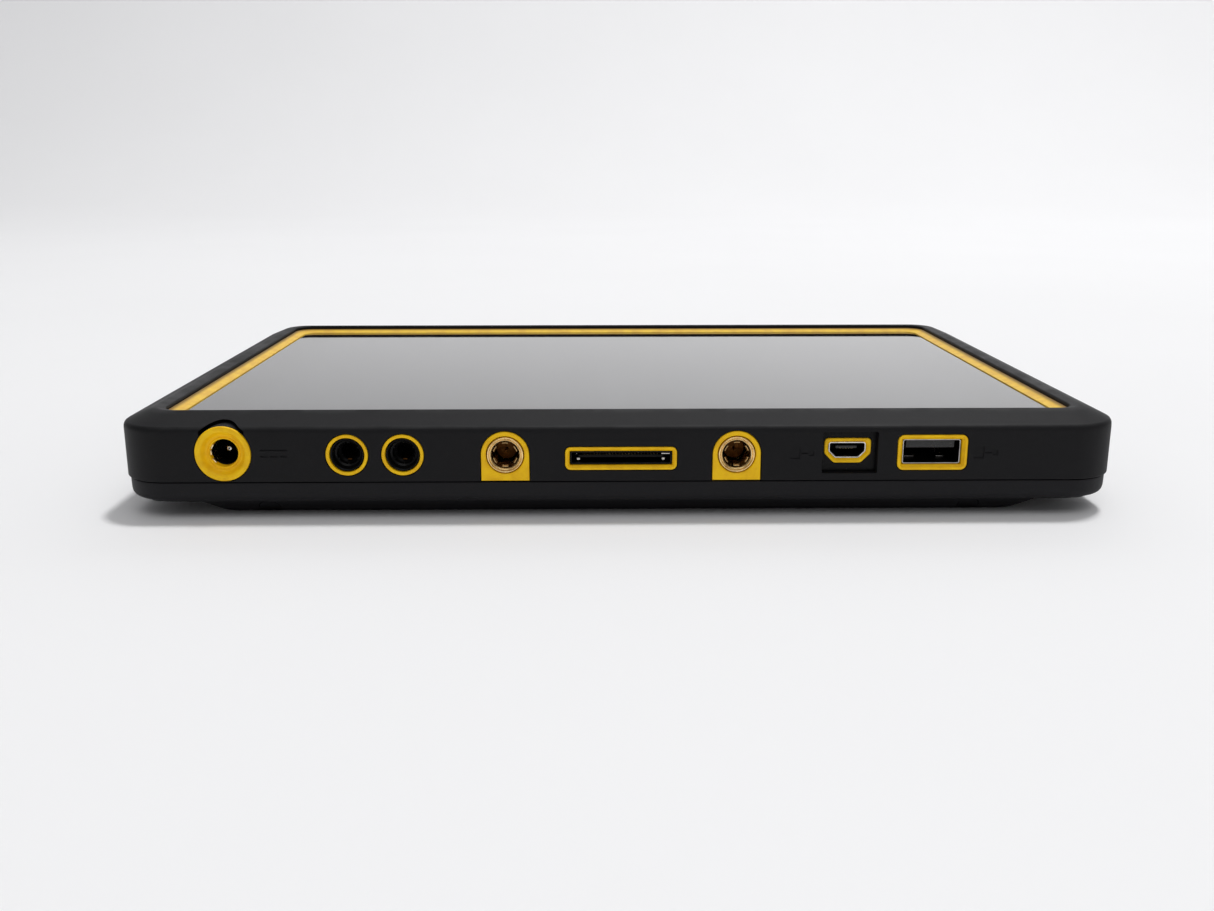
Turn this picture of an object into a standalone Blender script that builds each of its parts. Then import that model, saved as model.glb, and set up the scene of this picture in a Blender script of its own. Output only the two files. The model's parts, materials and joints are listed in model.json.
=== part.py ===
"""Rugged tablet data collector, modelled as an assembly of separate pieces.

X runs along the long side, Y from the connector side to the key side, Z up.
The origin is at the middle of the underside, on the surface that the tablet
lies on, with the screen facing up and the connectors facing -Y.
"""

import math

import bmesh
import bpy
from mathutils import Matrix, Vector

MM = 0.001

# Driving dimensions of the body
WIDTH = 227 * MM
DEPTH = 151 * MM
THICKNESS = 24 * MM
CORNER_RADIUS = 11.5 * MM
CREST_RADIUS = 6 * MM
WALL = 3 * MM
LOWER_WALL = 2.4 * MM
LOWER_STEP = 0.5 * MM
SIDE_SLOPE = 7.0 * MM
FRONT_SLOPE = 8.3 * MM

# Heights above the surface that the tablet lies on
SHOULDER_Z = 21.3 * MM
PARTING_Z = 9.0 * MM
LOWER_TOP_Z = 8.75 * MM
SKIRT_Z = 3.6 * MM
FLOOR_Z = 2.6 * MM
TRIM_SEAT_Z = 21.3 * MM
GLASS_SEAT_Z = 20.4 * MM
GLASS_TOP_Z = 21.9 * MM
# The crest is wider at the ends than along the long sides
SCREEN_EDGE = (8.8 * MM, 8.3 * MM)
BOARD_Z = 9.7 * MM
BOARD_TOP_Z = 10.9 * MM

# Belly: where the skirt ends and where the flat underside starts,
# as insets from the ends and from the long sides
BELLY_TOP = (12.3 * MM, 3.8 * MM)
BELLY_FLAT = (19 * MM, 7.5 * MM)
# Inside, the screw ledge ends and the floor of the bay starts here
LEDGE_INSET = 11.5 * MM
BAY_INSET = 21 * MM

# Connector side
FRONT_Y = -DEPTH / 2
BACK_Y = DEPTH / 2
SEAL_DEPTH = 2.6 * MM
SEAL_GAP = 0.15 * MM
POWER_X, POWER_Z, POWER_SEAL_R = -88.6 * MM, 15.5 * MM, 6.25 * MM
AUDIO_X, AUDIO_Z, AUDIO_SEAL_R = (-61.1 * MM, -48.7 * MM), 15.15 * MM, 4.7 * MM
ANTENNA_X, ANTENNA_Z, ANTENNA_SEAL_R = 25.9 * MM, 15.0 * MM, 5.42 * MM
DOCK_Z = 14.2 * MM
MICRO_X, MICRO_Z = 51.0 * MM, 15.5 * MM
MICRO_POCKET_X, MICRO_POCKET_Z, MICRO_POCKET_DEPTH = 51.3 * MM, 15.35 * MM, 2.0 * MM
USB_X, USB_Z = 69.8 * MM, 15.35 * MM
DOCK_NOTCH_X = 34.5 * MM

# Key side
KEY_Z = 14.4 * MM
KEY_POCKET_X, KEY_POCKET_HALF = -42.5 * MM, 33.5 * MM
KEY_POCKET_DEPTH = 1.0 * MM
KEY_PLAY, ROCKER_PLAY = 0.3 * MM, 0.8 * MM
KEY_AXIS_Y = BACK_Y - WALL / 2
POWER_KEY_X, FUNCTION_KEY_X, ROCKER_X = -70 * MM, (-56.5 * MM, -43 * MM), -23 * MM
SPEAKER_X = 62 * MM

# Underside
BATTERY_Y = -7 * MM
BATTERY_HALF = (52 * MM, 35 * MM)
COVER_HALF = (56 * MM, 39 * MM)
CAMERA_AT = (79 * MM, 38 * MM)
FLASH_AT = (79 * MM, 25 * MM)
FOOT_AT = (105.6 * MM, 65.0 * MM)
FOOT_R = 4.0 * MM
SCREWS_AT = (
    (-80.5 * MM, -69 * MM),
    (80.5 * MM, -69 * MM),
    (-80.5 * MM, 69 * MM),
    (80.5 * MM, 69 * MM),
    (-107.3 * MM, 0.0),
    (107.3 * MM, 0.0),
)

CORNER_STEPS = 6
SMALL_STEPS = 3
KEY_STEPS = 5
ROUND_STEPS = 28
MERGE = 0.00001


# ---------------------------------------------------------------- helpers


def clear_scene():
    for obj in list(bpy.data.objects):
        bpy.data.objects.remove(obj)


def collection(name):
    made = bpy.data.collections.new(name)
    bpy.context.scene.collection.children.link(made)
    return made


def material(name, rgb, roughness, metallic=0.0):
    """A Principled material, made once for each name."""
    found = bpy.data.materials.get(name)
    if found:
        return found
    made = bpy.data.materials.new(name)
    made.use_nodes = True
    shader = made.node_tree.nodes["Principled BSDF"]
    shader.inputs["Base Color"].default_value = (*rgb, 1.0)
    shader.inputs["Roughness"].default_value = roughness
    shader.inputs["Metallic"].default_value = metallic
    return made


def housing_plastic():
    return material("housing", (0.018, 0.018, 0.020), 0.55)


def seal_rubber():
    return material("seal_yellow", (0.80, 0.52, 0.03), 0.5)


def soft_black():
    return material("soft_black", (0.012, 0.012, 0.013), 0.8)


def gloss_black():
    return material("gloss_black", (0.010, 0.010, 0.011), 0.25)


def glass():
    return material("screen_glass", (0.02, 0.02, 0.025), 0.05)


def plated_steel():
    return material("plated_steel", (0.62, 0.60, 0.57), 0.3, 1.0)


def brass():
    return material("brass", (0.78, 0.57, 0.26), 0.28, 1.0)


def magnesium():
    return material("magnesium", (0.42, 0.43, 0.45), 0.5, 1.0)


def circuit_green():
    return material("circuit_board", (0.02, 0.12, 0.05), 0.45)


def battery_wrap():
    return material("battery_wrap", (0.05, 0.06, 0.10), 0.4)


def add_mesh(name, bm, finish, folder=None):
    """Turns a bmesh into a named object and shades its round faces smooth."""
    mesh = bpy.data.meshes.new(name)
    bm.to_mesh(mesh)
    bm.free()
    mesh.materials.append(finish)
    mesh.shade_smooth()
    mesh.set_sharp_from_angle(angle=math.radians(32))
    obj = bpy.data.objects.new(name, mesh)
    (folder or PARTS).objects.link(obj)
    return obj


def rounded_outline(half_x, half_y, radius, steps=SMALL_STEPS):
    """A rectangle with round corners as 2D points, the same count at every size."""
    points = []
    for quarter, (side_x, side_y) in enumerate(((1, 1), (-1, 1), (-1, -1), (1, -1))):
        for step in range(steps + 1):
            angle = math.radians(90 * (quarter + step / steps))
            x = side_x * (half_x - radius) + radius * math.cos(angle)
            y = side_y * (half_y - radius) + radius * math.sin(angle)
            points.append((x, y))
    return points


def body_ring(inset_x, inset_y, radius, z):
    """The body's outline at one height, drawn in from its sides and its ends."""
    outline = rounded_outline(WIDTH / 2 - inset_x, DEPTH / 2 - inset_y, radius, CORNER_STEPS)
    return [(x, y, z) for x, y in outline]


def wall_ring(outline, y, centre=(0.0, 0.0)):
    """A 2D outline stood up in the XZ plane at depth y, about centre."""
    return [(centre[0] + x, y, centre[1] + z) for x, z in outline]


def loft(name, rings, finish, closed=False, folder=None):
    """Skins a stack of rings with equal point counts.

    A closed stack makes a frame with a hole through it. An open one is capped
    at both ends.
    """
    bm = bmesh.new()
    loops = [[bm.verts.new(point) for point in ring] for ring in rings]
    pairs = list(zip(loops, loops[1:]))
    if closed:
        pairs.append((loops[-1], loops[0]))
    for lower, upper in pairs:
        for i, corner in enumerate(lower):
            j = (i + 1) % len(lower)
            bm.faces.new((corner, lower[j], upper[j], upper[i]))
    if not closed:
        bm.faces.new(loops[0])
        bm.faces.new(loops[-1])
    bmesh.ops.recalc_face_normals(bm, faces=bm.faces)
    return add_mesh(name, bm, finish, folder)


def box(name, low, high, finish, folder=None):
    """A block from its low corner to its high corner."""
    low, high = Vector(low), Vector(high)
    bm = bmesh.new()
    bmesh.ops.create_cube(bm, size=1.0)
    bmesh.ops.scale(bm, vec=high - low, verts=bm.verts)
    bmesh.ops.translate(bm, vec=(low + high) / 2, verts=bm.verts)
    return add_mesh(name, bm, finish, folder)


def rod(name, start, end, radius, finish, folder=None, steps=ROUND_STEPS):
    """A cylinder between two points."""
    start, end = Vector(start), Vector(end)
    along = end - start
    bm = bmesh.new()
    bmesh.ops.create_cone(
        bm,
        cap_ends=True,
        segments=steps,
        radius1=radius,
        radius2=radius,
        depth=along.length,
    )
    turn = along.to_track_quat("Z", "Y").to_matrix().to_4x4()
    bmesh.ops.transform(bm, matrix=Matrix.Translation((start + end) / 2) @ turn, verts=bm.verts)
    return add_mesh(name, bm, finish, folder)


def turned(name, profile, centre, finish, steps=ROUND_STEPS):
    """A ring turned about an axis through centre, which points out of the connector side.

    The profile holds (radius, distance out of the wall) and closes on itself.
    """
    mesh = bpy.data.meshes.new(name)
    points = [(radius, 0.0, out) for radius, out in profile]
    edges = [(i, (i + 1) % len(points)) for i in range(len(points))]
    mesh.from_pydata(points, edges, [])
    mesh.materials.append(finish)
    obj = bpy.data.objects.new(name, mesh)
    obj.location = (centre[0], FRONT_Y, centre[1])
    obj.rotation_euler = (math.radians(90), 0, 0)
    screw = obj.modifiers.new("Turn", "SCREW")
    screw.steps = steps
    screw.render_steps = steps
    screw.use_merge_vertices = True
    screw.merge_threshold = MERGE
    screw.use_smooth_shade = True
    PARTS.objects.link(obj)
    return obj


def soften(obj, width, segments=1, angle=40):
    """Rounds the sharp edges of a finished shape."""
    bevel = obj.modifiers.new("Soften", "BEVEL")
    bevel.width = width
    bevel.segments = segments
    bevel.limit_method = "ANGLE"
    bevel.angle_limit = math.radians(angle)
    return obj


def cut(obj, *cutters):
    """Cuts each cutter out of obj and hides it as a guide."""
    for cutter in cutters:
        cutter.hide_render = True
        cutter.display_type = "WIRE"
        boolean = obj.modifiers.new("Cut " + cutter.name, "BOOLEAN")
        boolean.operation = "DIFFERENCE"
        boolean.object = cutter
    return obj


def join(obj, *others):
    """Joins each other shape to obj as one body, and hides it as a guide."""
    for other in others:
        other.hide_render = True
        other.display_type = "WIRE"
        boolean = obj.modifiers.new("Join " + other.name, "BOOLEAN")
        boolean.operation = "UNION"
        boolean.object = other
    return obj


def guide_box(name, low, high):
    return box("cut_" + name, low, high, soft_black(), GUIDES)


def guide_rod(name, start, end, radius, **more):
    return rod("cut_" + name, start, end, radius, soft_black(), GUIDES, **more)


def gloss_box(name, low, high):
    return box(name, low, high, gloss_black())


def guide_prism(name, outline, centre, y0, y1):
    """A cutter through the connector or key wall with the given outline."""
    rings = [wall_ring(outline, y0, centre), wall_ring(outline, y1, centre)]
    return loft("cut_" + name, rings, soft_black(), folder=GUIDES)


def arch_outline(radius, foot, steps=16):
    """A half circle on straight sides that run down to foot below its centre."""
    arc = [
        (radius * math.cos(math.pi * i / steps), radius * math.sin(math.pi * i / steps))
        for i in range(steps + 1)
    ]
    return arc + [(-radius, -foot), (radius, -foot)]


def hex_outline(half_x, half_z, chamfer):
    """A rectangle whose two lower corners are cut off at 45 degrees."""
    top_cut = 0.25 * chamfer
    return [
        (half_x - top_cut, half_z),
        (-half_x + top_cut, half_z),
        (-half_x, half_z - top_cut),
        (-half_x, -half_z + chamfer),
        (-half_x + chamfer, -half_z),
        (half_x - chamfer, -half_z),
        (half_x, -half_z + chamfer),
        (half_x, half_z - top_cut),
    ]


def shrunk(outline, by):
    """An outline about its own centre, drawn in by the same step on every side."""
    return [(x - math.copysign(by, x), z - math.copysign(by, z)) for x, z in outline]


def frame_seal(name, outer, inner, centre, front_y):
    """A seal in the wall: the outer outline with the inner one open through it.

    Its front edges are rounded off a little by drawing the outline in there.
    """
    back_y = front_y + SEAL_DEPTH
    soft = 0.3 * MM
    rings = [
        wall_ring(outer, back_y, centre),
        wall_ring(outer, front_y + soft, centre),
        wall_ring(shrunk(outer, soft * 0.6), front_y, centre),
        wall_ring(shrunk(inner, -soft * 0.4), front_y, centre),
        wall_ring(inner, front_y + soft, centre),
        wall_ring(inner, back_y, centre),
    ]
    return loft(name, rings, seal_rubber(), closed=True)


def cup(name, outer, inner, centre, mouth_y, length, floor, finish):
    """A socket shell: a tube with the given outlines, closed at the back."""
    back_y = mouth_y + length
    rings = [
        wall_ring(inner, back_y - floor, centre),
        wall_ring(inner, mouth_y, centre),
        wall_ring(outer, mouth_y, centre),
        wall_ring(outer, back_y, centre),
    ]
    return loft(name, rings, finish)


# ---------------------------------------------------------------- housings


def front_housing():
    """The upper shell: side walls, sloping rim, crest and the seats for trim and glass."""
    crest_x, crest_y = SCREEN_EDGE
    brow_x, brow_y = SIDE_SLOPE - 0.6 * MM, FRONT_SLOPE - 0.6 * MM
    soft = 0.35 * MM
    seat_inset = 3.2 * MM
    lip_inset = 6.0 * MM
    ledge_z = 19.1 * MM
    inner_r = CORNER_RADIUS - WALL
    rings = [
        body_ring(soft, soft, CORNER_RADIUS - soft, PARTING_Z),
        body_ring(0, 0, CORNER_RADIUS, PARTING_Z + soft),
        body_ring(0, 0, CORNER_RADIUS, SHOULDER_Z - 0.2 * MM),
        body_ring(soft, soft, CORNER_RADIUS - soft, SHOULDER_Z + 0.15 * MM),
        body_ring(brow_x, brow_y, CREST_RADIUS + soft, THICKNESS - 0.12 * MM),
        body_ring(brow_x + soft, brow_y + soft, CREST_RADIUS, THICKNESS),
        body_ring(crest_x, crest_y, CREST_RADIUS - soft, THICKNESS - 0.2 * MM),
        body_ring(crest_x, crest_y, CREST_RADIUS - soft, TRIM_SEAT_Z),
        body_ring(crest_x + seat_inset, crest_y + seat_inset, 4 * MM, TRIM_SEAT_Z),
        body_ring(crest_x + seat_inset, crest_y + seat_inset, 4 * MM, GLASS_SEAT_Z),
        body_ring(crest_x + lip_inset, crest_y + lip_inset, 3 * MM, GLASS_SEAT_Z),
        body_ring(crest_x + lip_inset, crest_y + lip_inset, 3 * MM, ledge_z),
        body_ring(WALL, WALL, inner_r, ledge_z + 0.5 * MM),
        body_ring(WALL, WALL, inner_r, PARTING_Z),
    ]
    shell = loft("front_housing", rings, housing_plastic(), closed=True)
    for i, (x, y) in enumerate(SCREWS_AT):
        foot, head = (x, y, LOWER_TOP_Z - 0.1 * MM), (x, y, ledge_z + 0.7 * MM)
        join(shell, guide_rod(f"boss_{i}", foot, head, 2.6 * MM, steps=16))
    cut(shell, *connector_openings(), *key_openings(), *speaker_slots())
    for i, (x, y) in enumerate(SCREWS_AT):
        cut(shell, guide_rod(f"pilot_{i}", (x, y, 8 * MM), (x, y, 15 * MM), 1.3 * MM, steps=12))
    return shell


def connector_openings():
    """Every hole, pocket and dent in the connector wall."""
    y0, y1 = FRONT_Y - 1 * MM, FRONT_Y + WALL + 1 * MM
    made = [power_opening(y1)]
    for i, x in enumerate(AUDIO_X):
        made.append(guide_rod(f"audio_{i}", (x, y0, AUDIO_Z), (x, y1, AUDIO_Z), AUDIO_SEAL_R + SEAL_GAP))
    arch = arch_outline(ANTENNA_SEAL_R + SEAL_GAP, 7 * MM)
    for side in (-1, 1):
        made.append(guide_prism(f"antenna_{side}", arch, (side * ANTENNA_X, ANTENNA_Z), y0, y1))
    dock = rounded_outline(12.5 * MM + SEAL_GAP, 2.63 * MM + SEAL_GAP, 1.2 * MM)
    made.append(guide_prism("dock", dock, (0, DOCK_Z), y0, y1))
    pocket = rounded_outline(6.2 * MM, 4.75 * MM, 0.4 * MM)
    floor_y = FRONT_Y + MICRO_POCKET_DEPTH
    made.append(guide_prism("micro_pocket", pocket, (MICRO_POCKET_X, MICRO_POCKET_Z), y0, floor_y))
    micro = hex_outline(5.25 * MM + SEAL_GAP, 2.85 * MM + SEAL_GAP, 2.2 * MM + SEAL_GAP)
    made.append(guide_prism("micro", micro, (MICRO_X, MICRO_Z), y0, y1))
    usb = rounded_outline(7.85 * MM + SEAL_GAP, 4.05 * MM + SEAL_GAP, 1.3 * MM)
    made.append(guide_prism("usb", usb, (USB_X, USB_Z), y0, y1))
    return made


def power_opening(end_y):
    """The round hole for the power seal, with a flared mouth that bites into the slope above."""
    hole_r = POWER_SEAL_R + SEAL_GAP
    flare = ((hole_r + 1.2 * MM, -0.6 * MM), (hole_r, 0.8 * MM), (hole_r, end_y - FRONT_Y))
    rings = [
        wall_ring(circle(radius), FRONT_Y + along, (POWER_X, POWER_Z))
        for radius, along in flare
    ]
    return loft("cut_power", rings, soft_black(), folder=GUIDES)


def circle(radius, steps=ROUND_STEPS):
    angles = [2 * math.pi * i / steps for i in range(steps)]
    return [(radius * math.cos(angle), radius * math.sin(angle)) for angle in angles]


def stadium(half_x, half_z):
    """A key outline with fully round ends."""
    return rounded_outline(half_x, half_z, min(half_x, half_z) - 0.01 * MM, KEY_STEPS)


def key_sizes():
    """Half length and half height of each key cap, by node name, with its centre in X."""
    sizes = {"power_button": (POWER_KEY_X, 3.4 * MM, 3.4 * MM)}
    for i, x in enumerate(FUNCTION_KEY_X):
        sizes[f"function_button_{i + 1}"] = (x, 5.0 * MM, 2.7 * MM)
    sizes["volume_rocker"] = (ROCKER_X, 10.5 * MM, 2.7 * MM)
    return sizes


def key_openings():
    """The shallow pocket around the keys and a hole for each key."""
    clearance = 0.3 * MM
    pocket = guide_prism(
        "key_pocket",
        stadium(KEY_POCKET_HALF, 4.5 * MM),
        (KEY_POCKET_X, KEY_Z),
        BACK_Y - KEY_POCKET_DEPTH,
        BACK_Y + 1 * MM,
    )
    made = [pocket]
    for name, (x, half_x, half_z) in key_sizes().items():
        hole = stadium(half_x + clearance, half_z + clearance)
        made.append(guide_prism(name, hole, (x, KEY_Z), BACK_Y - WALL - 1 * MM, BACK_Y + 1 * MM))
    return made


def speaker_slots():
    """Five upright sound slots through the key wall, and the microphone hole beside them."""
    made = []
    for i in range(5):
        x = SPEAKER_X + (i - 2) * 3.2 * MM
        slot = stadium(0.7 * MM, 2.6 * MM)
        made.append(
            guide_prism(f"speaker_{i}", slot, (x, KEY_Z), BACK_Y - WALL - 1 * MM, BACK_Y + 1 * MM)
        )
    x = SPEAKER_X - 16 * MM
    start, end = (x, BACK_Y - WALL - 1 * MM, KEY_Z), (x, BACK_Y + 1 * MM, KEY_Z)
    made.append(guide_rod("microphone", start, end, 0.6 * MM, steps=12))
    return made


def rear_housing():
    """The lower shell: skirt, sloping belly and the flat underside."""
    step = LOWER_STEP
    corner = CORNER_RADIUS - step
    inner = step + LOWER_WALL
    inner_r = corner - LOWER_WALL
    skirt_floor = SKIRT_Z + 2.0 * MM
    rings = [
        body_ring(*BELLY_FLAT, 7 * MM, 0),
        body_ring(*BELLY_TOP, 9 * MM, SKIRT_Z),
        body_ring(3.4 * MM, 3.4 * MM, corner - 2.9 * MM, SKIRT_Z),
        body_ring(1.5 * MM, 1.5 * MM, corner - 1.0 * MM, SKIRT_Z + 0.55 * MM),
        body_ring(0.75 * MM, 0.75 * MM, corner - 0.25 * MM, SKIRT_Z + 1.5 * MM),
        body_ring(step, step, corner, SKIRT_Z + 3.0 * MM),
        body_ring(step, step, corner, LOWER_TOP_Z),
        body_ring(step + 0.7 * MM, step + 0.7 * MM, corner - 0.7 * MM, LOWER_TOP_Z),
        body_ring(step + 0.7 * MM, step + 0.7 * MM, corner - 0.7 * MM, LOWER_TOP_Z - 0.75 * MM),
        body_ring(step + 1.7 * MM, step + 1.7 * MM, corner - 1.7 * MM, LOWER_TOP_Z - 0.75 * MM),
        body_ring(step + 1.7 * MM, step + 1.7 * MM, corner - 1.7 * MM, LOWER_TOP_Z),
        body_ring(inner, inner, inner_r, LOWER_TOP_Z),
        body_ring(inner, inner, inner_r, skirt_floor),
        body_ring(LEDGE_INSET, LEDGE_INSET, 7.5 * MM, skirt_floor),
        body_ring(BAY_INSET, BAY_INSET, 6 * MM, FLOOR_Z),
    ]
    shell = loft("rear_housing", rings, housing_plastic())
    for i, (x, y) in enumerate(SCREWS_AT):
        join(shell, guide_rod(f"column_{i}", (x, y, 5 * MM), (x, y, 8.3 * MM), 3.8 * MM, steps=16))
    for side in (-1, 1):
        join(shell, latch_block(guide_box, f"latch_boss_{side}", side, 55.9, 75, 9, 1.9, 5))
    cut(shell, *battery_openings(), *latch_pockets(), *underside_seats(), *dock_notches())
    return shell


def battery_openings():
    """The recess that the battery cover sits in, and the opening above it for the pack."""
    centre = Vector((0, BATTERY_Y))
    gap = 0.3 * MM
    seat = [
        (centre.x + x, centre.y + y)
        for x, y in rounded_outline(COVER_HALF[0] + gap, COVER_HALF[1] + gap, 4 * MM)
    ]
    mouth = [
        (centre.x + x, centre.y + y)
        for x, y in rounded_outline(COVER_HALF[0] - 0.5 * MM, COVER_HALF[1] - 2.5 * MM, 3 * MM)
    ]
    return [
        flat_prism("cover_seat", seat, -1 * MM, 1.8 * MM),
        flat_prism("battery_mouth", mouth, 1 * MM, 4 * MM),
    ]


def flat_prism(name, outline, z0, z1):
    """A cutter with an outline in the XY plane."""
    rings = [[(x, y, z) for x, y in outline] for z in (z0, z1)]
    return loft("cut_" + name, rings, soft_black(), folder=GUIDES)


def latch_block(make, name, side, x0, x1, half_y, z0, z1):
    """A block beside the battery, in millimetres, on the side that is -1 or 1."""
    low_x, high_x = sorted((side * x0 * MM, side * x1 * MM))
    low = (low_x, BATTERY_Y - half_y * MM, z0 * MM)
    high = (high_x, BATTERY_Y + half_y * MM, z1 * MM)
    return make(name, low, high)


def latch_pockets():
    """A T-shaped slideway for each battery latch, and the passage for its tongue."""
    made = []
    for side in (-1, 1):
        made.append(latch_block(guide_box, f"latch_mouth_{side}", side, 57.6, 73, 5.4, -1, 2.5))
        made.append(latch_block(guide_box, f"latch_groove_{side}", side, 57.6, 73, 6.6, 1.9, 3.3))
        made.append(latch_block(guide_box, f"latch_passage_{side}", side, 54, 58, 4.4, 1.95, 3.3))
    return made


def underside_seats():
    """Screw holes, foot seats, and the camera and flash openings."""
    made = []
    for i, (x, y) in enumerate(SCREWS_AT):
        made.append(guide_rod(f"head_{i}", (x, y, -1 * MM), (x, y, 5.9 * MM), 2.6 * MM, steps=20))
        made.append(guide_rod(f"shank_{i}", (x, y, 5 * MM), (x, y, 9 * MM), 1.35 * MM, steps=12))
    for name, (x, y) in foot_places().items():
        low, high = (x, y, 1 * MM), (x, y, SKIRT_Z + 1.0 * MM)
        made.append(guide_rod("seat_" + name, low, high, FOOT_R + 0.3 * MM))
    for name, (x, y), window_r, hole_r in (
        ("camera", CAMERA_AT, 5.1 * MM, 4.3 * MM),
        ("flash", FLASH_AT, 2.6 * MM, 1.7 * MM),
    ):
        made.append(guide_rod(name + "_seat", (x, y, -1 * MM), (x, y, 1.1 * MM), window_r))
        made.append(guide_rod(name + "_hole", (x, y, 0.5 * MM), (x, y, 4 * MM), hole_r))
    return made


def dock_notches():
    """Two catch notches in the lower edge of the connector side, for a docking cradle."""
    half_oval = [
        (2.9 * MM * math.cos(math.pi * i / 10), 1.8 * MM * math.sin(math.pi * i / 10))
        for i in range(11)
    ]
    return [
        guide_prism(
            f"dock_notch_{side}",
            half_oval,
            (side * DOCK_NOTCH_X, 3.3 * MM),
            FRONT_Y - 1 * MM,
            FRONT_Y + 2.2 * MM,
        )
        for side in (-1, 1)
    ]


def shell_gasket():
    """The soft cord that seals the two shells, in the groove of the lower one."""
    step = LOWER_STEP
    out_inset, in_inset = step + 0.85 * MM, step + 1.55 * MM
    corner = CORNER_RADIUS - step
    low_z, high_z = LOWER_TOP_Z - 0.6 * MM, LOWER_TOP_Z + 0.12 * MM
    rings = [
        body_ring(out_inset, out_inset, corner - 0.85 * MM, low_z),
        body_ring(out_inset, out_inset, corner - 0.85 * MM, high_z),
        body_ring(in_inset, in_inset, corner - 1.55 * MM, high_z),
        body_ring(in_inset, in_inset, corner - 1.55 * MM, low_z),
    ]
    return loft("shell_gasket", rings, soft_black(), closed=True)


# ---------------------------------------------------------------- screen


def screen_trim():
    """The coloured ring round the glass, which slopes from under the crest down to the glass."""
    x, y = SCREEN_EDGE
    low_z = TRIM_SEAT_Z + 0.2 * MM
    rim_z = GLASS_TOP_Z + 1.0 * MM
    foot_z = GLASS_TOP_Z + 0.15 * MM
    rings = [
        body_ring(x + 0.15 * MM, y + 0.15 * MM, 5.5 * MM, low_z),
        body_ring(x + 0.15 * MM, y + 0.15 * MM, 5.5 * MM, rim_z - 0.1 * MM),
        body_ring(x + 0.4 * MM, y + 0.4 * MM, 5.3 * MM, rim_z),
        body_ring(x + 3.05 * MM, y + 3.05 * MM, 4.2 * MM, foot_z),
        body_ring(x + 3.15 * MM, y + 3.15 * MM, 4.1 * MM, low_z),
    ]
    return loft("screen_trim", rings, seal_rubber(), closed=True)


def cover_glass():
    """The touch glass, with a narrow ground edge."""
    x, y = (edge_inset + 3.5 * MM for edge_inset in SCREEN_EDGE)
    edge = 0.25 * MM
    rings = [
        body_ring(x, y, 3.6 * MM, GLASS_SEAT_Z + 0.3 * MM),
        body_ring(x, y, 3.6 * MM, GLASS_TOP_Z - edge),
        body_ring(x + edge, y + edge, 3.4 * MM, GLASS_TOP_Z),
    ]
    return loft("cover_glass", rings, glass())


def display_panel():
    return soften(
        box("display_panel", (-92 * MM, -58 * MM, 16.5 * MM), (92 * MM, 58 * MM, 20.2 * MM), gloss_black()),
        0.4 * MM,
    )


def front_camera():
    """The small camera under the glass, beside the display on the key side."""
    at_y = 60.3 * MM
    low, high = (-3 * MM, at_y - 1.6 * MM, 17.2 * MM), (3 * MM, at_y + 0.7 * MM, 19.5 * MM)
    body = box("front_camera", low, high, gloss_black())
    base, tip = (0, at_y - 0.4 * MM, 19.1 * MM), (0, at_y - 0.4 * MM, 20.3 * MM)
    return join(body, guide_rod("front_camera_lens", base, tip, 1.1 * MM, steps=16))


# ---------------------------------------------------------------- inside


def chassis_frame():
    """The cast plate that stiffens the tablet and carries the display."""
    low, high = (-98 * MM, -59 * MM, 14.6 * MM), (98 * MM, 59 * MM, 16.1 * MM)
    frame = box("chassis_frame", low, high, magnesium())
    for i, x in enumerate((-64, 0, 64)):
        for j, y in enumerate((-28, 28)):
            low = ((x - 25) * MM, (y - 20) * MM, 13 * MM)
            high = ((x + 25) * MM, (y + 20) * MM, 17.5 * MM)
            cut(frame, guide_box(f"lightening_{i}_{j}", low, high))
    return frame


def main_board():
    """The main circuit board, notched round the screw bosses."""
    low, high = (-99 * MM, -71.8 * MM, BOARD_Z), (99 * MM, 58 * MM, BOARD_TOP_Z)
    board = box("main_board", low, high, circuit_green())
    for i, (x, y) in enumerate(SCREWS_AT[:2]):
        cut(board, guide_rod(f"board_notch_{i}", (x, y, 8 * MM), (x, y, 12 * MM), 3.4 * MM, steps=20))
    return board


def processor_parts():
    """The processor's shield can and the plate that spreads its heat into the frame."""
    low, high = (-17 * MM, -30 * MM, BOARD_TOP_Z + 0.2 * MM), (17 * MM, 4 * MM, 12.9 * MM)
    soften(box("processor_shield", low, high, plated_steel()), 0.4 * MM)
    low, high = (-45 * MM, -44 * MM, 13.15 * MM), (45 * MM, 18 * MM, 14.2 * MM)
    box("heat_spreader", low, high, magnesium())


def antennas():
    """The satellite patch antenna and the radio antenna, on the key side of the board."""
    x, y, half = 22 * MM, 50 * MM, 7 * MM
    low, high = (x - half, y - half, BOARD_TOP_Z + 0.2 * MM), (x + half, y + half, 14.3 * MM)
    ceramic = material("ceramic_patch", (0.75, 0.68, 0.55), 0.6)
    soften(box("satellite_antenna", low, high, ceramic), 0.3 * MM)
    box("radio_antenna", (100.5 * MM, 22 * MM, 10 * MM), (101.7 * MM, 56 * MM, 17 * MM), circuit_green())


def speaker():
    low = (SPEAKER_X - 9 * MM, 66 * MM, KEY_Z - 3.6 * MM)
    high = (SPEAKER_X + 9 * MM, 72 * MM, KEY_Z + 3.6 * MM)
    return soften(box("speaker", low, high, gloss_black()), 0.5 * MM)


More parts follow.
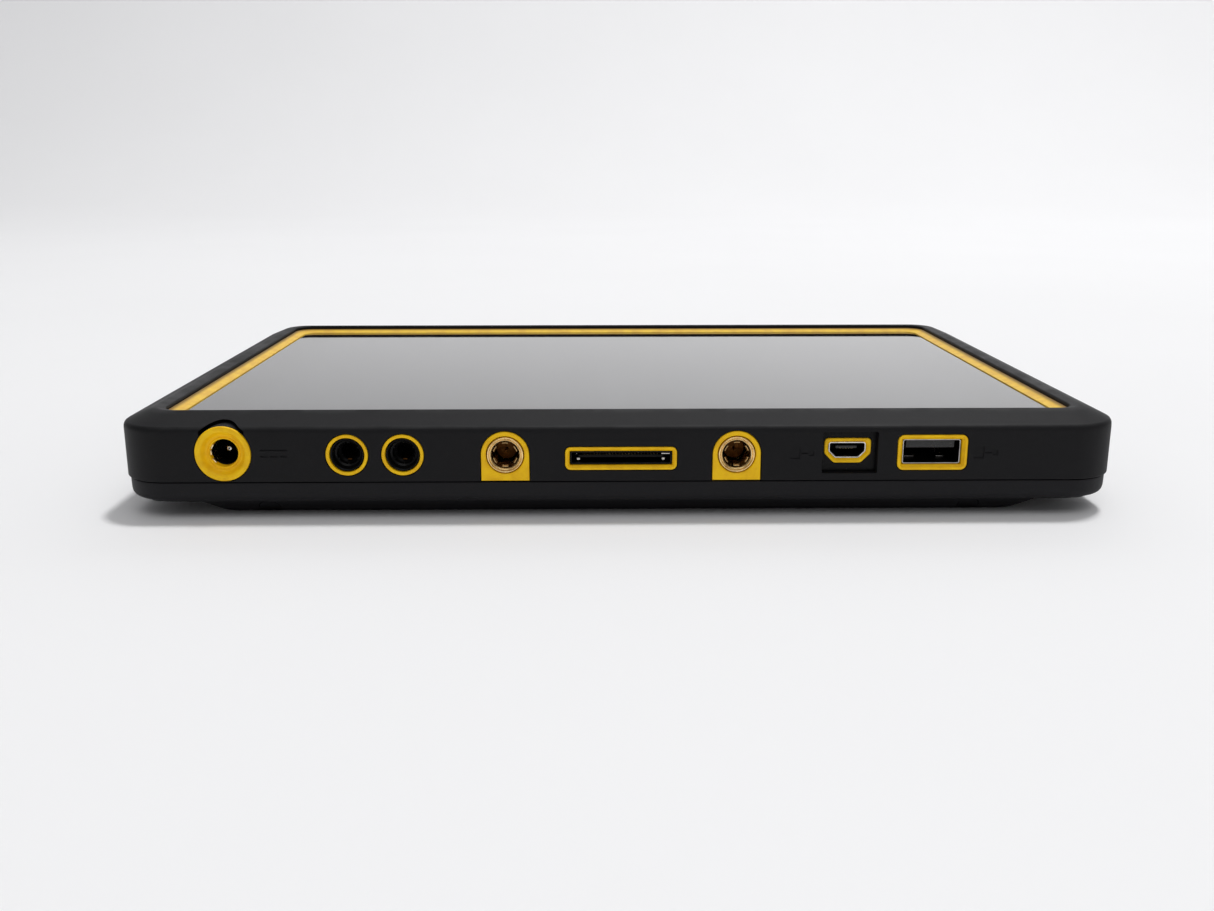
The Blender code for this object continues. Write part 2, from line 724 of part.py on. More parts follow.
def battery_parts():
    """The pack, its contact block, and the cover with the brackets that the latches hold."""
    half_x, half_y = BATTERY_HALF
    outline = rounded_outline(half_x, half_y, 3 * MM, steps=4)
    rings = [[(x, y + BATTERY_Y, z) for x, y in outline] for z in (1.8 * MM, 8.4 * MM)]
    soften(loft("battery_pack", rings, battery_wrap()), 0.6 * MM)
    edge_y = BATTERY_Y + half_y
    low, high = (-12 * MM, edge_y + 0.3 * MM, 4 * MM), (12 * MM, edge_y + 4 * MM, 9.3 * MM)
    box("battery_contacts", low, high, gloss_black())

    plate = rounded_outline(*COVER_HALF, 3.7 * MM, steps=4)
    rings = [[(x, y + BATTERY_Y, z) for x, y in plate] for z in (0, 1.45 * MM)]
    cover = loft("battery_cover", rings, housing_plastic())
    for side in (-1, 1):
        join(cover, latch_block(guide_box, f"bracket_{side}", side, 52.8, 54.9, 6, 1.2, 4.3))
        cut(cover, latch_block(guide_box, f"bracket_slot_{side}", side, 52, 56, 4.3, 1.9, 3.2))
    return cover


def battery_latch(name, side):
    """A thumb slider in a T-shaped slideway; its tongue holds the cover's bracket."""
    pad = latch_block(guide_box, f"{name}_pad", side, 58.6, 68, 5.0, 0.3, 2.3)
    tongue = latch_block(guide_box, f"{name}_tongue", side, 53.2, 59, 4.0, 2.25, 2.95)
    latch = latch_block(gloss_box, name, side, 58.5, 68.1, 6.2, 2.2, 3.0)
    join(latch, pad, tongue)
    for i in range(4):
        x = 60.2 + 2.1 * i
        rib_gap = latch_block(guide_box, f"{name}_gap_{i}", side, x - 0.4, x + 0.4, 4.2, -1, 0.8)
        cut(latch, rib_gap)
    return latch


# ---------------------------------------------------------------- connectors


def power_socket():
    """The charging socket: dished seal, jack body and centre pin."""
    seal_r = POWER_SEAL_R
    profile = [
        (3.1 * MM, -2.6 * MM),
        (3.05 * MM, -2.1 * MM),
        (4.0 * MM, -1.35 * MM),
        (5.0 * MM, -0.45 * MM),
        (5.5 * MM, 0.0),
        (seal_r - 0.25 * MM, 0.0),
        (seal_r, -0.25 * MM),
        (seal_r, -2.6 * MM),
    ]
    turned("power_seal", profile, (POWER_X, POWER_Z), seal_rubber())
    face_y = FRONT_Y + WALL + 0.3 * MM
    low = (POWER_X - 4.6 * MM, face_y, 11.2 * MM)
    high = (POWER_X + 4.6 * MM, face_y + 11 * MM, 18.95 * MM)
    body = gloss_box("power_jack", low, high)
    mouth, end = (POWER_X, face_y - 1 * MM, POWER_Z), (POWER_X, face_y + 9.5 * MM, POWER_Z)
    cut(body, guide_rod("power_bore", mouth, end, 2.95 * MM))
    tip, root = (POWER_X, face_y + 1 * MM, POWER_Z), (POWER_X, face_y + 9.3 * MM, POWER_Z)
    rod("power_pin", tip, root, 1.0 * MM, plated_steel(), steps=16)


def audio_sockets():
    """Two round audio sockets, for sound out and sound in."""
    for name, x in zip(("headphone", "microphone"), AUDIO_X):
        inner_r = 3.85 * MM
        profile = [
            (inner_r, -2.6 * MM),
            (inner_r, -0.3 * MM),
            (inner_r + 0.25 * MM, 0.0),
            (AUDIO_SEAL_R - 0.2 * MM, 0.0),
            (AUDIO_SEAL_R, -0.25 * MM),
            (AUDIO_SEAL_R, -2.6 * MM),
        ]
        turned(name + "_seal", profile, (x, AUDIO_Z), seal_rubber())
        face_y = FRONT_Y + WALL + 0.3 * MM
        low = (x - 4.2 * MM, face_y, 11.2 * MM)
        high = (x + 4.2 * MM, face_y + 12 * MM, 18.9 * MM)
        jack = gloss_box(name + "_jack", low, high)
        start, step, end = (
            (x, face_y + along * MM, AUDIO_Z) for along in (-1, 1.4, 10.5)
        )
        cut(jack, guide_rod(name + "_mouth", start, step, 3.5 * MM))
        cut(jack, guide_rod(name + "_bore", start, end, 1.8 * MM, steps=20))


def antenna_sockets():
    """The two aerial sockets beside the dock connector: arched seal, brass bush and contact."""
    for name, side in (("left", -1), ("right", 1)):
        centre = (side * ANTENNA_X, ANTENNA_Z)
        seal = arch_seal(f"antenna_seal_{name}", centre)
        soften(seal, 0.2 * MM)
        bush = [
            (2.7 * MM, -9.0 * MM),
            (2.7 * MM, -0.55 * MM),
            (3.25 * MM, -0.1 * MM),
            (3.45 * MM, -0.1 * MM),
            (3.5 * MM, -0.35 * MM),
            (3.65 * MM, -0.35 * MM),
            (3.75 * MM, -0.05 * MM),
            (3.95 * MM, -0.05 * MM),
            (4.1 * MM, -0.2 * MM),
            (4.1 * MM, -3.2 * MM),
            (3.6 * MM, -3.4 * MM),
            (3.6 * MM, -9.0 * MM),
        ]
        turned(f"antenna_socket_{name}", bush, centre, brass(), steps=24)
        x, z = centre
        core = rod(
            f"antenna_contact_{name}",
            (x, FRONT_Y + 5.6 * MM, z),
            (x, FRONT_Y + 9 * MM, z),
            2.45 * MM,
            material("insulator", (0.80, 0.78, 0.72), 0.5),
            steps=24,
        )
        tip, root = (x, FRONT_Y + 3.2 * MM, z), (x, FRONT_Y + 6 * MM, z)
        join(core, guide_rod(f"contact_pin_{name}", tip, root, 0.55 * MM, steps=12))


def arch_seal(name, centre):
    """An arched plate with a round hole, as a flat curve with thickness."""
    curve = bpy.data.curves.new(name, "CURVE")
    curve.dimensions = "2D"
    curve.fill_mode = "BOTH"
    curve.extrude = SEAL_DEPTH / 2
    foot = ANTENNA_Z - PARTING_Z - 0.1 * MM
    for outline in (arch_outline(ANTENNA_SEAL_R, foot), circle(4.25 * MM)):
        spline = curve.splines.new("POLY")
        spline.points.add(len(outline) - 1)
        for point, (x, y) in zip(spline.points, outline):
            point.co = (x, y, 0, 1)
        spline.use_cyclic_u = True
    curve.materials.append(seal_rubber())
    obj = bpy.data.objects.new(name, curve)
    obj.location = (centre[0], FRONT_Y + 0.1 * MM + SEAL_DEPTH / 2, centre[1])
    obj.rotation_euler = (math.radians(90), 0, 0)
    weld = obj.modifiers.new("Weld", "WELD")
    weld.merge_threshold = MERGE
    PARTS.objects.link(obj)
    return obj


def dock_connector():
    """The docking connector: frame seal, metal shell and contact blade."""
    centre = (0.0, DOCK_Z)
    outer = rounded_outline(12.5 * MM, 2.63 * MM, 1.1 * MM)
    inner = rounded_outline(11.6 * MM, 1.7 * MM, 0.4 * MM)
    frame_seal("dock_seal", outer, inner, centre, FRONT_Y)
    shell_outer = rounded_outline(11.45 * MM, 1.55 * MM, 0.4 * MM)
    shell_inner = rounded_outline(11.15 * MM, 1.25 * MM, 0.25 * MM)
    mouth_y = FRONT_Y + 1.0 * MM
    cup("dock_shell", shell_outer, shell_inner, centre, mouth_y, 11 * MM, 1 * MM, plated_steel())
    low = (-9.6 * MM, mouth_y + 1.4 * MM, DOCK_Z - 0.35 * MM)
    high = (9.6 * MM, mouth_y + 9.8 * MM, DOCK_Z + 0.35 * MM)
    gloss_box("dock_blade", low, high)


def micro_usb():
    """The small data socket, deep in its own pocket."""
    centre = (MICRO_X, MICRO_Z)
    front_y = FRONT_Y + MICRO_POCKET_DEPTH - 0.4 * MM
    outer = hex_outline(5.25 * MM, 2.85 * MM, 2.2 * MM)
    inner = hex_outline(4.2 * MM, 1.85 * MM, 1.55 * MM)
    frame_seal("micro_usb_seal", outer, inner, centre, front_y)
    shell_outer = hex_outline(4.05 * MM, 1.7 * MM, 1.45 * MM)
    shell_inner = hex_outline(3.75 * MM, 1.4 * MM, 1.25 * MM)
    mouth_y = front_y + 0.7 * MM
    cup("micro_usb_shell", shell_outer, shell_inner, centre, mouth_y, 7 * MM, 0.8 * MM, plated_steel())
    low = (MICRO_X - 2.4 * MM, mouth_y + 1.0 * MM, MICRO_Z + 0.1 * MM)
    high = (MICRO_X + 2.4 * MM, mouth_y + 6.0 * MM, MICRO_Z + 0.75 * MM)
    gloss_box("micro_usb_tongue", low, high)


def usb_socket():
    """The full-size data socket."""
    centre = (USB_X, USB_Z)
    outer = rounded_outline(7.85 * MM, 4.05 * MM, 1.2 * MM)
    inner = rounded_outline(6.75 * MM, 3.05 * MM, 0.4 * MM)
    frame_seal("usb_seal", outer, inner, centre, FRONT_Y)
    shell_outer = rounded_outline(6.6 * MM, 2.9 * MM, 0.4 * MM)
    shell_inner = rounded_outline(6.3 * MM, 2.6 * MM, 0.25 * MM)
    mouth_y = FRONT_Y + 1.2 * MM
    cup("usb_shell", shell_outer, shell_inner, centre, mouth_y, 13.5 * MM, 1 * MM, plated_steel())
    low = (USB_X - 5.55 * MM, mouth_y + 1.2 * MM, USB_Z + 0.55 * MM)
    high = (USB_X + 5.55 * MM, mouth_y + 12.3 * MM, USB_Z + 2.35 * MM)
    gloss_box("usb_tongue", low, high)


# ---------------------------------------------------------------- keys


def key(name, x, half_x, half_z, play):
    """A key cap with a rounded face and the flange that keeps it behind the wall.

    Its origin is in the middle of the wall, where the rocker turns.
    """
    face = WALL / 2 - 0.12 * MM
    flange_face = -WALL / 2 - play
    flange = 0.6 * MM
    rings = [
        wall_ring(stadium(half_x - 0.45 * MM, half_z - 0.45 * MM), face),
        wall_ring(stadium(half_x - 0.1 * MM, half_z - 0.1 * MM), face - 0.2 * MM),
        wall_ring(stadium(half_x, half_z), face - 0.5 * MM),
        wall_ring(stadium(half_x, half_z), flange_face),
        wall_ring(stadium(half_x + flange, half_z + flange), flange_face),
        wall_ring(stadium(half_x + flange, half_z + flange), flange_face - 0.8 * MM),
    ]
    obj = loft(name, rings, soft_black())
    obj.location = (x, KEY_AXIS_Y, KEY_Z)
    return obj


def keys():
    """Three push keys, the rocker, and the board with their switches."""
    for name, (x, half_x, half_z) in key_sizes().items():
        key(name, x, half_x, half_z, ROCKER_PLAY if name == "volume_rocker" else KEY_PLAY)
    face_y = BACK_Y - WALL - 2.6 * MM
    low = (KEY_POCKET_X - 32 * MM, face_y - 0.8 * MM, KEY_Z - 3.4 * MM)
    high = (KEY_POCKET_X + 32 * MM, face_y, KEY_Z + 3.4 * MM)
    box("key_board", low, high, circuit_green())


# ---------------------------------------------------------------- underside


def foot_places():
    x, y = FOOT_AT
    return {
        "foot_front_left": (-x, -y),
        "foot_front_right": (x, -y),
        "foot_back_left": (-x, y),
        "foot_back_right": (x, y),
    }


def feet():
    """Low round corner feet, seated in the skirt."""
    for name, (x, y) in foot_places().items():
        foot = rod(name, (x, y, 2.35 * MM), (x, y, SKIRT_Z + 0.75 * MM), FOOT_R, soft_black(), steps=24)
        soften(foot, 0.5 * MM)


def housing_screws():
    """Six pan-head screws that draw the lower shell to the bosses of the upper one."""
    for i, (x, y) in enumerate(SCREWS_AT):
        head = (x, y, 4.3 * MM), (x, y, 5.6 * MM)
        screw = rod(f"housing_screw_{i + 1}", *head, 2.2 * MM, plated_steel(), steps=20)
        shank = guide_rod(f"screw_shank_{i}", (x, y, 5.3 * MM), (x, y, 13.8 * MM), 1.0 * MM, steps=12)
        join(screw, shank)
        cut(screw, guide_rod(f"screw_drive_{i}", (x, y, 4.0 * MM), (x, y, 4.95 * MM), 1.0 * MM, steps=6))


def rear_camera():
    """The camera barrel with its window, and the window of the flash."""
    for name, (x, y), radius in (
        ("camera_window", CAMERA_AT, 4.8 * MM),
        ("flash_window", FLASH_AT, 2.3 * MM),
    ):
        rod(name, (x, y, 0.2 * MM), (x, y, 0.85 * MM), radius, glass(), steps=24)
    x, y = CAMERA_AT
    rod("rear_camera", (x, y, 1.15 * MM), (x, y, 8.6 * MM), 3.9 * MM, gloss_black(), steps=24)


# ---------------------------------------------------------------- assembly


def build():
    front_housing()
    rear_housing()
    shell_gasket()
    screen_trim()
    cover_glass()
    display_panel()
    front_camera()
    chassis_frame()
    main_board()
    processor_parts()
    antennas()
    speaker()
    battery_parts()
    battery_latch("battery_latch_left", -1)
    battery_latch("battery_latch_right", 1)
    power_socket()
    audio_sockets()
    antenna_sockets()
    dock_connector()
    micro_usb()
    usb_socket()
    keys()
    feet()
    housing_screws()
    rear_camera()


clear_scene()
PARTS = collection("data_collector")
GUIDES = collection("guides")
build()
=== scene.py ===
# %% [markdown]
# # A rugged tablet data collector
#
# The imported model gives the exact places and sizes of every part. This lesson gives it its looks: fine
# surfaces in place of the faceted ones, and finishes made of shader nodes.

# %% The frame
import json
import math

import bmesh
import bpy
from mathutils import Euler, Matrix, Vector


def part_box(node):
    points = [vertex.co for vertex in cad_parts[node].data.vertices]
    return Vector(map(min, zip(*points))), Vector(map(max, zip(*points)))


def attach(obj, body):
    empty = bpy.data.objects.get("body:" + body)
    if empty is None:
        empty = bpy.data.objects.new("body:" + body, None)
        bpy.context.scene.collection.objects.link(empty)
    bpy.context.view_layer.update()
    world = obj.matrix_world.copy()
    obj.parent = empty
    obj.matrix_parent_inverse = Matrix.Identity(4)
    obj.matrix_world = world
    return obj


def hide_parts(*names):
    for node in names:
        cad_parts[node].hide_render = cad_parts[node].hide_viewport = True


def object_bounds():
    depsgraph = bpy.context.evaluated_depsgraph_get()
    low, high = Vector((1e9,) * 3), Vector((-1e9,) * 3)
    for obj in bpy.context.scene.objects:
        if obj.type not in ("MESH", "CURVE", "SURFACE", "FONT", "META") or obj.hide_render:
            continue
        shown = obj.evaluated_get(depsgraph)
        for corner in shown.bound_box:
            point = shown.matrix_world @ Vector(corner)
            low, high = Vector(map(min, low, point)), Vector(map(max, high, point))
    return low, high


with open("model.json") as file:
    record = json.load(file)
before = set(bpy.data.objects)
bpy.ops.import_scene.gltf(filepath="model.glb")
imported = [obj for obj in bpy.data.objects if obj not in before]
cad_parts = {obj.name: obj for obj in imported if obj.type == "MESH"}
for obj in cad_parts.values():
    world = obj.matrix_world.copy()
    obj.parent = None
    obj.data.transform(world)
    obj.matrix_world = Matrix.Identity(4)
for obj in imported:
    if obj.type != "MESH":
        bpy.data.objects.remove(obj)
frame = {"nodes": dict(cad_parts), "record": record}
cad_low, cad_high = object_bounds()
MM = 0.001
HALF_X, HALF_Y = cad_high.x / MM, cad_high.y / MM
TOP_Z = cad_high.z / MM
FRONT = -HALF_Y
print("body", round(2 * HALF_X, 2), round(2 * HALF_Y, 2), round(TOP_Z, 2), "mm")


def middle(node):
    """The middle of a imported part, in millimetres."""
    low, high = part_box(node)
    return (low + high) / (2 * MM)


def half_size(node):
    low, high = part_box(node)
    return (high - low) / (2 * MM)


# %% [markdown]
# ## Arithmetic on shader sockets
#
# A finish is easier to read as an expression than as a list of links. `Signal` wraps one socket and turns
# Python's operators into Math nodes. `Finish` is a material being made, and its one `node` method adds any
# node: settings first, because they can change which sockets exist, then the values of its sockets.

# %% Signals and finishes
class Signal:
    """An output socket that takes part in Python expressions."""

    def __init__(self, finish, socket):
        self.finish = finish
        self.socket = socket

    def __add__(self, other):
        return self.finish.math("ADD", self, other)

    def __sub__(self, other):
        return self.finish.math("SUBTRACT", self, other)

    def __rsub__(self, other):
        return self.finish.math("SUBTRACT", other, self)

    def __mul__(self, other):
        return self.finish.math("MULTIPLY", self, other)

    __radd__ = __add__
    __rmul__ = __mul__

    def size(self):
        return self.finish.math("ABSOLUTE", self)


class Finish:
    """A material under construction, with object coordinates in millimetres."""

    def __init__(self, name):
        self.material = bpy.data.materials.new(name)
        self.material.use_nodes = True
        self.tree = self.material.node_tree
        self.tree.nodes.clear()
        coordinates = self.node("ShaderNodeTexCoord", output="Object")
        self.place = self.node(
            "ShaderNodeVectorMath", {"operation": "SCALE"}, {"Vector": coordinates, "Scale": 1 / MM}
        )
        self.x, self.y, self.z = (
            self.node("ShaderNodeSeparateXYZ", values={"Vector": self.place}, output=axis) for axis in "XYZ"
        )

    def node(self, kind, settings=None, values=None, output=0):
        made = self.tree.nodes.new(kind)
        for name, value in (settings or {}).items():
            if name == "stops":
                self.set_stops(made.color_ramp, value)
            else:
                setattr(made, name, value)
        for key, value in (values or {}).items():
            if isinstance(value, Signal):
                self.tree.links.new(value.socket, made.inputs[key])
            else:
                made.inputs[key].default_value = value
        return Signal(self, made.outputs[output]) if made.outputs else made

    @staticmethod
    def set_stops(ramp, stops):
        while len(ramp.elements) < len(stops):
            ramp.elements.new(1.0)
        for element, (position, colour) in zip(ramp.elements, stops):
            element.position = position
            element.color = (*colour, 1.0)

    def math(self, operation, *values):
        return self.node("ShaderNodeMath", {"operation": operation}, dict(enumerate(values)))

    def noise(self, size, detail=2.0, roughness=0.5, place=None):
        """Soft noise whose blotches are about size millimetres across."""
        values = {"Vector": place or self.place, "Scale": 1 / size, "Detail": detail, "Roughness": roughness}
        return self.node("ShaderNodeTexNoise", values=values)

    def cells(self, size, place=None, output="Distance"):
        """Distance to the nearest of scattered points about size millimetres apart, in cells."""
        values = {"Vector": place or self.place, "Scale": 1 / size}
        return self.node("ShaderNodeTexVoronoi", values=values, output=output)

    def step(self, value, low, high):
        """0 below low, 1 above high, and smooth between; reversed where low is the larger."""
        values = {"Value": value, "From Min": low, "From Max": high}
        return self.node("ShaderNodeMapRange", {"interpolation_type": "SMOOTHSTEP"}, values)

    def mix(self, share, first, second):
        values = {0: share, 6: as_colour(first), 7: as_colour(second)}
        return self.node("ShaderNodeMix", {"data_type": "RGBA"}, values, output=2)

    def stretched(self, scale):
        return self.node("ShaderNodeVectorMath", {"operation": "MULTIPLY"}, {0: self.place, 1: scale})

    def bump(self, height, depth, strength=1.0, below=None):
        """A bump whose full height is depth millimetres."""
        values = {"Height": height, "Distance": depth * MM, "Strength": strength}
        if below:
            values["Normal"] = below
        return self.node("ShaderNodeBump", values=values)

    def finish(self, **sockets):
        """Adds the surface shader, its named sockets, and the output."""
        values = {key.replace("_", " "): value for key, value in sockets.items()}
        if not isinstance(values.get("Base Color"), Signal):
            values["Base Color"] = as_colour(values["Base Color"])
        shader = self.node("ShaderNodeBsdfPrincipled", values=values)
        self.node("ShaderNodeOutputMaterial", values={"Surface": shader})
        return self.material


def as_colour(value):
    return value if isinstance(value, Signal) else (*value, 1.0)


print("signals ready")


# %% [markdown]
# ## Finishes
#
# The shells are moulded in black plastic with a fine spark-eroded grain. The grain is what keeps them matte,
# so it is real bump at its real size, and the colour only varies a little: cloudy patches from handling, a
# paler rub on the crest and shoulder that hands and cases touch, and a few specks of dust. The other
# finishes follow the same pattern: one base, one variation at the size that the real one has, one bump.

# %% Moulded black plastic
def dust(f, spacing, radius, amount):
    """Sparse specks: a share of the scattered points gets a small dot."""
    near = f.step(f.cells(spacing), radius / spacing, 0.5 * radius / spacing)
    lot = f.node("ShaderNodeSeparateColor", values={0: f.cells(spacing, output="Color")})
    return near * f.step(lot, amount, amount - 0.01)


def moulded_black(name, tone, grain=0.22):
    f = Finish(name)
    clouds = f.noise(38, 3.0)
    speckle = f.noise(grain, 2.0, 0.6)
    crest = f.step(f.z, TOP_Z - 0.75, TOP_Z - 0.05)
    shoulder = f.step((f.z - 21.35).size(), 0.5, 0.05)
    rub = (crest * 0.8 + shoulder * 0.35) * f.step(f.noise(7, 3.0), 0.35, 0.7)
    base = f.mix(clouds, [0.75 * c for c in tone], [1.3 * c for c in tone])
    base = f.mix(f.step(speckle, 0.45, 0.75) * 0.35, base, [2.6 * c for c in tone])
    base = f.mix(rub * 0.5, base, (0.040, 0.040, 0.042))
    streaks = f.noise(1.0, 3.0, 0.7, f.stretched((0.05, 0.9, 2.2)))
    base = f.mix(f.step(streaks, 0.66, 0.80) * 0.25, base, (0.045, 0.045, 0.048))
    base = f.mix(dust(f, 7.0, 0.13, 0.16), base, (0.30, 0.29, 0.28))
    pits = f.noise(grain, 3.0, 0.6)
    waves = f.noise(14, 1.0)
    normal = f.bump(pits, 0.030, 0.55, f.bump(waves, 0.05, 0.25))
    roughness = 0.50 + clouds * 0.14 - rub * 0.10
    return f.finish(Base_Color=base, Roughness=roughness, Normal=normal, Specular_IOR_Level=0.2)


def rubber_black():
    f = Finish("soft_black_rubber")
    base = f.mix(f.noise(5, 4.0), (0.006, 0.006, 0.0065), (0.016, 0.016, 0.017))
    base = f.mix(dust(f, 3.5, 0.10, 0.25), base, (0.22, 0.21, 0.20))
    normal = f.bump(f.noise(0.16, 2.0), 0.02, 0.6)
    roughness = 0.62 + f.noise(2.5) * 0.16
    return f.finish(Base_Color=base, Roughness=roughness, Normal=normal, Specular_IOR_Level=0.3)


def gloss_black(name="gloss_black_plastic", tone=0.006, shine=0.5):
    f = Finish(name)
    base = f.mix(f.noise(3, 3.0), (tone, tone, tone), (2 * tone, 2 * tone, 2.1 * tone))
    base = f.mix(dust(f, 2.2, 0.07, 0.3), base, (0.20, 0.19, 0.17))
    normal = f.bump(f.noise(0.5, 2.0), 0.012, 0.5)
    roughness = 0.22 + f.noise(1.4) * 0.14
    return f.finish(Base_Color=base, Roughness=roughness, Normal=normal, Specular_IOR_Level=shine)


# %% Yellow seal rubber
def seal_yellow(name, tone, painted_shade_above=None):
    """Satin rubber: a little deeper in patches, with fine mottling, moulding grain and dust.

    Above the given height it is painted browner: painted shade, where the crest shades the ring.
    """
    f = Finish(name)
    deep = (0.90 * tone[0], 0.84 * tone[1], tone[2])
    pale = (1.04 * tone[0], 1.06 * tone[1], tone[2])
    base = f.mix(f.step(f.noise(3.0, 3.0), 0.3, 0.7), deep, pale)
    base = f.mix(f.step(f.noise(0.35, 3.0, 0.65), 0.55, 0.8) * 0.12, base, (0.55, 0.33, 0.01))
    if painted_shade_above is not None:
        # Painted shade: above that height the colour turns brown, standing in for the shade beside the
        # crest.
        base = f.mix(f.step(f.z, painted_shade_above, painted_shade_above + 0.45) * 0.9, base, (0.17, 0.085, 0.012))
    base = f.mix(dust(f, 2.4, 0.06, 0.3), base, (0.10, 0.07, 0.03))
    normal = f.bump(f.noise(0.12, 2.0), 0.006, 0.5, f.bump(f.noise(1.6), 0.02, 0.3))
    roughness = 0.42 + f.noise(1.1) * 0.12
    return f.finish(Base_Color=base, Roughness=roughness, Normal=normal, Specular_IOR_Level=0.25)


# %% Glass
def screen_glass():
    """A dark display under glass. The coat is the glass's own surface, and the base is the display's."""
    f = Finish("touch_glass")
    lit_x, lit_y = (half_size("display_panel")[i] - 3 for i in range(2))
    lit = f.step(f.x.size(), lit_x + 0.3, lit_x) * f.step(f.y.size(), lit_y + 0.3, lit_y)
    base = f.mix(lit, (0.004, 0.004, 0.0045), (0.020, 0.020, 0.023))
    smear = f.noise(26, 4.0, 0.6, f.stretched((1.0, 0.45, 1.0)))
    prints = f.step(f.noise(11, 2.0), 0.52, 0.72)
    base = f.mix(dust(f, 9, 0.12, 0.2), base, (0.35, 0.35, 0.35))
    roughness = 0.045 + f.step(smear, 0.4, 0.8) * 0.05 + prints * 0.03
    return f.finish(
        Base_Color=base, Roughness=roughness, Specular_IOR_Level=0.05, Coat_Weight=1.0, Coat_Roughness=0.04,
        Coat_IOR=1.47, Normal=f.bump(f.noise(45, 1.0), 0.02, 0.5),
    )


def window_glass():
    f = Finish("window_glass")
    base = f.mix(f.noise(2, 2.0), (0.010, 0.010, 0.014), (0.022, 0.020, 0.030))
    roughness = 0.06 + f.noise(1.5) * 0.05
    return f.finish(Base_Color=base, Roughness=roughness, Coat_Weight=1.0, Coat_Roughness=0.03)


# %% Metals
def turned_brass():
    """Gold-flashed brass: turning marks run round the bore, so they follow the distance from its axis."""
    f = Finish("gold_flashed_brass")
    axis = middle("antenna_socket_right")
    across = f.x.size() - axis.x
    up = f.z - axis.z
    radius = f.math("SQRT", across * across + up * up)
    values = {"W": radius, "Scale": 22.0, "Detail": 2.0}
    marks = f.node("ShaderNodeTexNoise", {"noise_dimensions": "1D"}, values)
    tarnish = f.step(f.noise(1.1, 3.0), 0.4, 0.75)
    base = f.mix(tarnish * 0.5, (0.93, 0.70, 0.34), (0.52, 0.31, 0.10))
    # Painted shade: inside the bore's radius the brass, sprung fingers included, is darkened to a deep
    # amber-brown for the shade in the bore.
    inside = f.step(radius, 2.95, 2.6)
    base = f.mix(inside * 0.8, base, (0.30, 0.13, 0.035))
    normal = f.bump(marks, 0.03, 0.6)
    roughness = 0.17 + marks * 0.12 + tarnish * 0.15
    return f.finish(Base_Color=base, Metallic=1.0, Roughness=roughness, Normal=normal)


def plated_steel(name="nickel_plated_steel", mouth=None):
    """Drawn sheet with nickel plate: long faint lines along X, and a few dull patches.

    With a mouth, the plate is painted dark, as painted shade, and is duller further than that into the wall.
    """
    f = Finish(name)
    lines = f.noise(0.08, 3.0, 0.6, f.stretched((0.06, 0.06, 1.0)))
    dull = f.step(f.noise(1.8, 3.0), 0.45, 0.75)
    base = f.mix(dull * 0.6, (0.72, 0.69, 0.65), (0.42, 0.39, 0.36))
    roughness = 0.22 + dull * 0.16
    if mouth is not None:
        # Painted shade: deeper than the mouth the plate is darkened, for the shade inside the socket.
        inside = f.step(f.y, mouth + 0.15, mouth + 0.8)
        base = f.mix(inside, base, (0.020, 0.019, 0.018))
        roughness = roughness + inside * 0.2
    return f.finish(Base_Color=base, Metallic=1.0, Roughness=roughness, Normal=f.bump(lines, 0.006, 0.6))


def contact_gold():
    f = Finish("contact_gold")
    worn = f.step(f.noise(0.6, 3.0), 0.45, 0.7)
    base = f.mix(worn, (0.94, 0.72, 0.36), (0.70, 0.56, 0.36))
    return f.finish(Base_Color=base, Metallic=1.0, Roughness=0.2 + worn * 0.15)


def painted_shade_brass():
    """Brass at the bottom of a bore, painted dark brown as shade: dull, and brighter only where a plug has
    rubbed it.
    """
    f = Finish("painted_shade_brass")
    rubbed = f.step(f.noise(0.8, 3.0), 0.55, 0.8)
    # Painted shade: the brass is darkened to brown for the shade at the bottom of the bore.
    base = f.mix(rubbed * 0.5, (0.10, 0.042, 0.012), (0.34, 0.18, 0.06))
    normal = f.bump(f.noise(0.4), 0.02, 0.6)
    return f.finish(Base_Color=base, Metallic=1.0, Roughness=0.5 - rubbed * 0.15, Normal=normal)


def cast_magnesium():
    f = Finish("cast_magnesium")
    base = f.mix(f.noise(1.4, 4.0), (0.30, 0.31, 0.33), (0.50, 0.51, 0.53))
    normal = f.bump(f.noise(0.5, 3.0), 0.05, 0.7)
    return f.finish(Base_Color=base, Metallic=1.0, Roughness=0.5, Normal=normal)


# %% Finishes of the parts inside
def circuit_board():
    """Green solder mask over a maze of copper tracks."""
    f = Finish("circuit_board")
    values = {"Vector": f.place, "Scale": 0.55, "Mortar Size": 0.09, "Brick Width": 0.9, "Row Height": 0.35}
    tracks = f.node("ShaderNodeTexBrick", values=values, output="Fac")
    base = f.mix(tracks, (0.012, 0.085, 0.035), (0.035, 0.18, 0.07))
    base = f.mix(f.step(f.cells(2.4), 0.16, 0.13), base, (0.55, 0.42, 0.16))
    return f.finish(Base_Color=base, Roughness=0.38, Normal=f.bump(tracks, 0.03, 0.8))


def fired_ceramic():
    f = Finish("fired_ceramic")
    base = f.mix(f.noise(0.7, 4.0), (0.66, 0.58, 0.45), (0.80, 0.73, 0.60))
    return f.finish(Base_Color=base, Roughness=0.6, Normal=f.bump(f.noise(0.3, 3.0), 0.03, 0.7))


def shrink_wrap():
    f = Finish("battery_wrap")
    wrinkles = f.noise(4, 4.0, 0.6, f.stretched((0.4, 1.6, 1.0)))
    base = f.mix(wrinkles, (0.03, 0.035, 0.06), (0.07, 0.08, 0.12))
    return f.finish(Base_Color=base, Roughness=0.34, Normal=f.bump(wrinkles, 0.12, 0.6))


def pale_insulator():
    f = Finish("pale_insulator")
    base = f.mix(f.noise(1.2, 3.0), (0.42, 0.34, 0.22), (0.62, 0.55, 0.42))
    return f.finish(Base_Color=base, Roughness=0.42, Normal=f.bump(f.noise(0.4), 0.02, 0.5))


